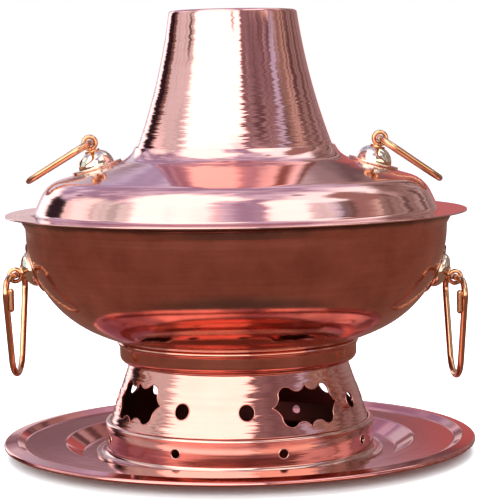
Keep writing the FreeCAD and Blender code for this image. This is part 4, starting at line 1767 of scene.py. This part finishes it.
    def floor(self) -> None:
        """Lay the pale floor."""
        corners = [(x * self.floor_half, y * self.floor_half, -self.floor_drop)
                   for x, y in ((-1, -1), (1, -1), (1, 1), (-1, 1))]
        floor = new_object("floor", corners, [(0, 1, 2, 3)])
        material = bpy.data.materials.new("floor_paper")
        material.use_nodes = True
        recipe = Recipe(material.node_tree)
        shader = recipe.node("ShaderNodeBsdfPrincipled", {"inputs": {
            "Base Color": self.PAPER, "Roughness": self.PAPER_ROUGHNESS,
            "Specular IOR Level": self.PAPER_SPECULAR}})
        recipe.show(shader, "ShaderNodeOutputMaterial")
        floor.data.materials.append(material)
        floor.visible_glossy = False

    def surroundings(self) -> None:
        """Light the scene with a pale studio: soft walls of light between darker gaps."""
        world = bpy.data.worlds.new("studio")
        bpy.context.scene.world = world
        world.use_nodes = True
        recipe = Recipe(world.node_tree)
        where = recipe.node("ShaderNodeTexCoord", {}, out="Generated")
        x, y, z = recipe.split(where)
        turn = recipe.node("ShaderNodeMath", {"operation": "ARCTAN2"}, x, 0.0 - y) / math.tau + 0.5
        walls = recipe.ramp(turn, self.WALLS)
        lumps = recipe.noise(where, 2.6, 4.0, 0.6)
        veil = recipe.noise(where, 5.5, 4.0, 0.55)
        lilac = recipe.mix(veil.step(0.42, 0.60), self.DUSK, self.SKY_LEFT)
        sky = recipe.mix((x + 0.5 * (lumps - 0.5)).step(0.25, 0.5), lilac, self.SKY_RIGHT)
        stripes = recipe.noise(recipe.vector(turn * 90.0, z * 2.5, 0.0), 1.0, 3.0, 0.6)
        right, left = turn.step(0.53, 0.54), turn.step(0.32, 0.31) * turn.step(0.18, 0.20)
        walls = recipe.mix(stripes.step(0.50, 0.58) * right * 0.9, walls, self.STREAK)
        walls = recipe.mix(stripes.step(0.44, 0.36) * right * 0.6, walls, self.GLINT)
        walls = recipe.mix(stripes.step(0.52, 0.60) * left * 0.45, walls, self.STREAK)
        walls = recipe.mix(z.step(0.34, 0.42) * turn.step(0.20, 0.15), walls, lilac)
        behind = recipe.ramp(z + 0.04 * (lumps - 0.5), self.HORIZON)
        behind = recipe.mix((x + 0.2 * (lumps - 0.5)).step(0.06, 0.11), behind, self.EMBER)
        walls = recipe.mix(y.step(0.93, 0.965) * z.step(0.42, 0.34), walls, behind)
        low = turn.step(0.535, 0.54) * turn.step(0.69, 0.68) * z.step(0.29, 0.26)
        walls = recipe.mix(low, walls, self.LOW_CARD)
        light = recipe.mix((z + 0.25 * (lumps - 0.5)).step(0.60, 0.72), walls, sky)
        for card in self.PATCHES:
            reach = recipe.node("ShaderNodeVectorMath", {"operation": "DISTANCE"},
                                where, card.toward, out="Value")
            core = card.size * (1.0 - card.softness)
            mask = (reach + card.ragged * (lumps - 0.5)).step(card.size, core)
            light = recipe.mix(mask, light, (*card.color, 1.0))
        light = recipe.mix(z.step(-0.02, -0.10), light, self.GROUND)
        light = recipe.mix(z.step(-0.80, -0.93), light, self.UNDER)
        seen = recipe.node("ShaderNodeLightPath", {}, out="Is Camera Ray")
        shown = recipe.mix(seen, light, self.BACKDROP)
        recipe.show(recipe.node("ShaderNodeBackground", {}, shown, 1.0), "ShaderNodeOutputWorld")

    def lamp(self, name: str, place: tuple, aim: tuple, size: tuple, power: float) -> None:
        """Hang a soft light.

        Args:
            name: The light's name.
            place: Where it hangs.
            aim: What it faces.
            size: Its width and height.
            power: Its power in watts.
        """
        data = bpy.data.lights.new(name, "AREA")
        data.shape = "RECTANGLE"
        data.size, data.size_y = size
        data.energy = power
        made = bpy.data.objects.new(name, data)
        made.location = place
        made.rotation_euler = (Vector(aim) - made.location).to_track_quat("-Z", "Y").to_euler()
        made.visible_glossy = False
        bpy.context.scene.collection.objects.link(made)

    def build(self) -> None:
        """Set the studio up."""
        self.camera()
        self.floor()
        self.surroundings()
        for lamp in self.LAMPS:
            self.lamp(*lamp)
        bpy.context.scene.view_settings.view_transform = "Standard"


def main() -> None:
    logging.basicConfig(level=logging.INFO, format="%(name)s: %(message)s", stream=sys.stdout)
    Studio().build()
    tray, stand, bowl, chimney, lid = Tray(), Stand(), Bowl(), Chimney(), Lid()
    flue = chimney.line(bowl.lip[1])
    dome = lid.line(bowl.lip, flue)
    tray.build()
    stand.build()
    bowl.build(stand.skirt_line())
    chimney.build(flue)
    lid.build(dome)
    Handles().build(bowl.line(), dome, lid.top_slope)


if __name__ == "__main__":
    main()
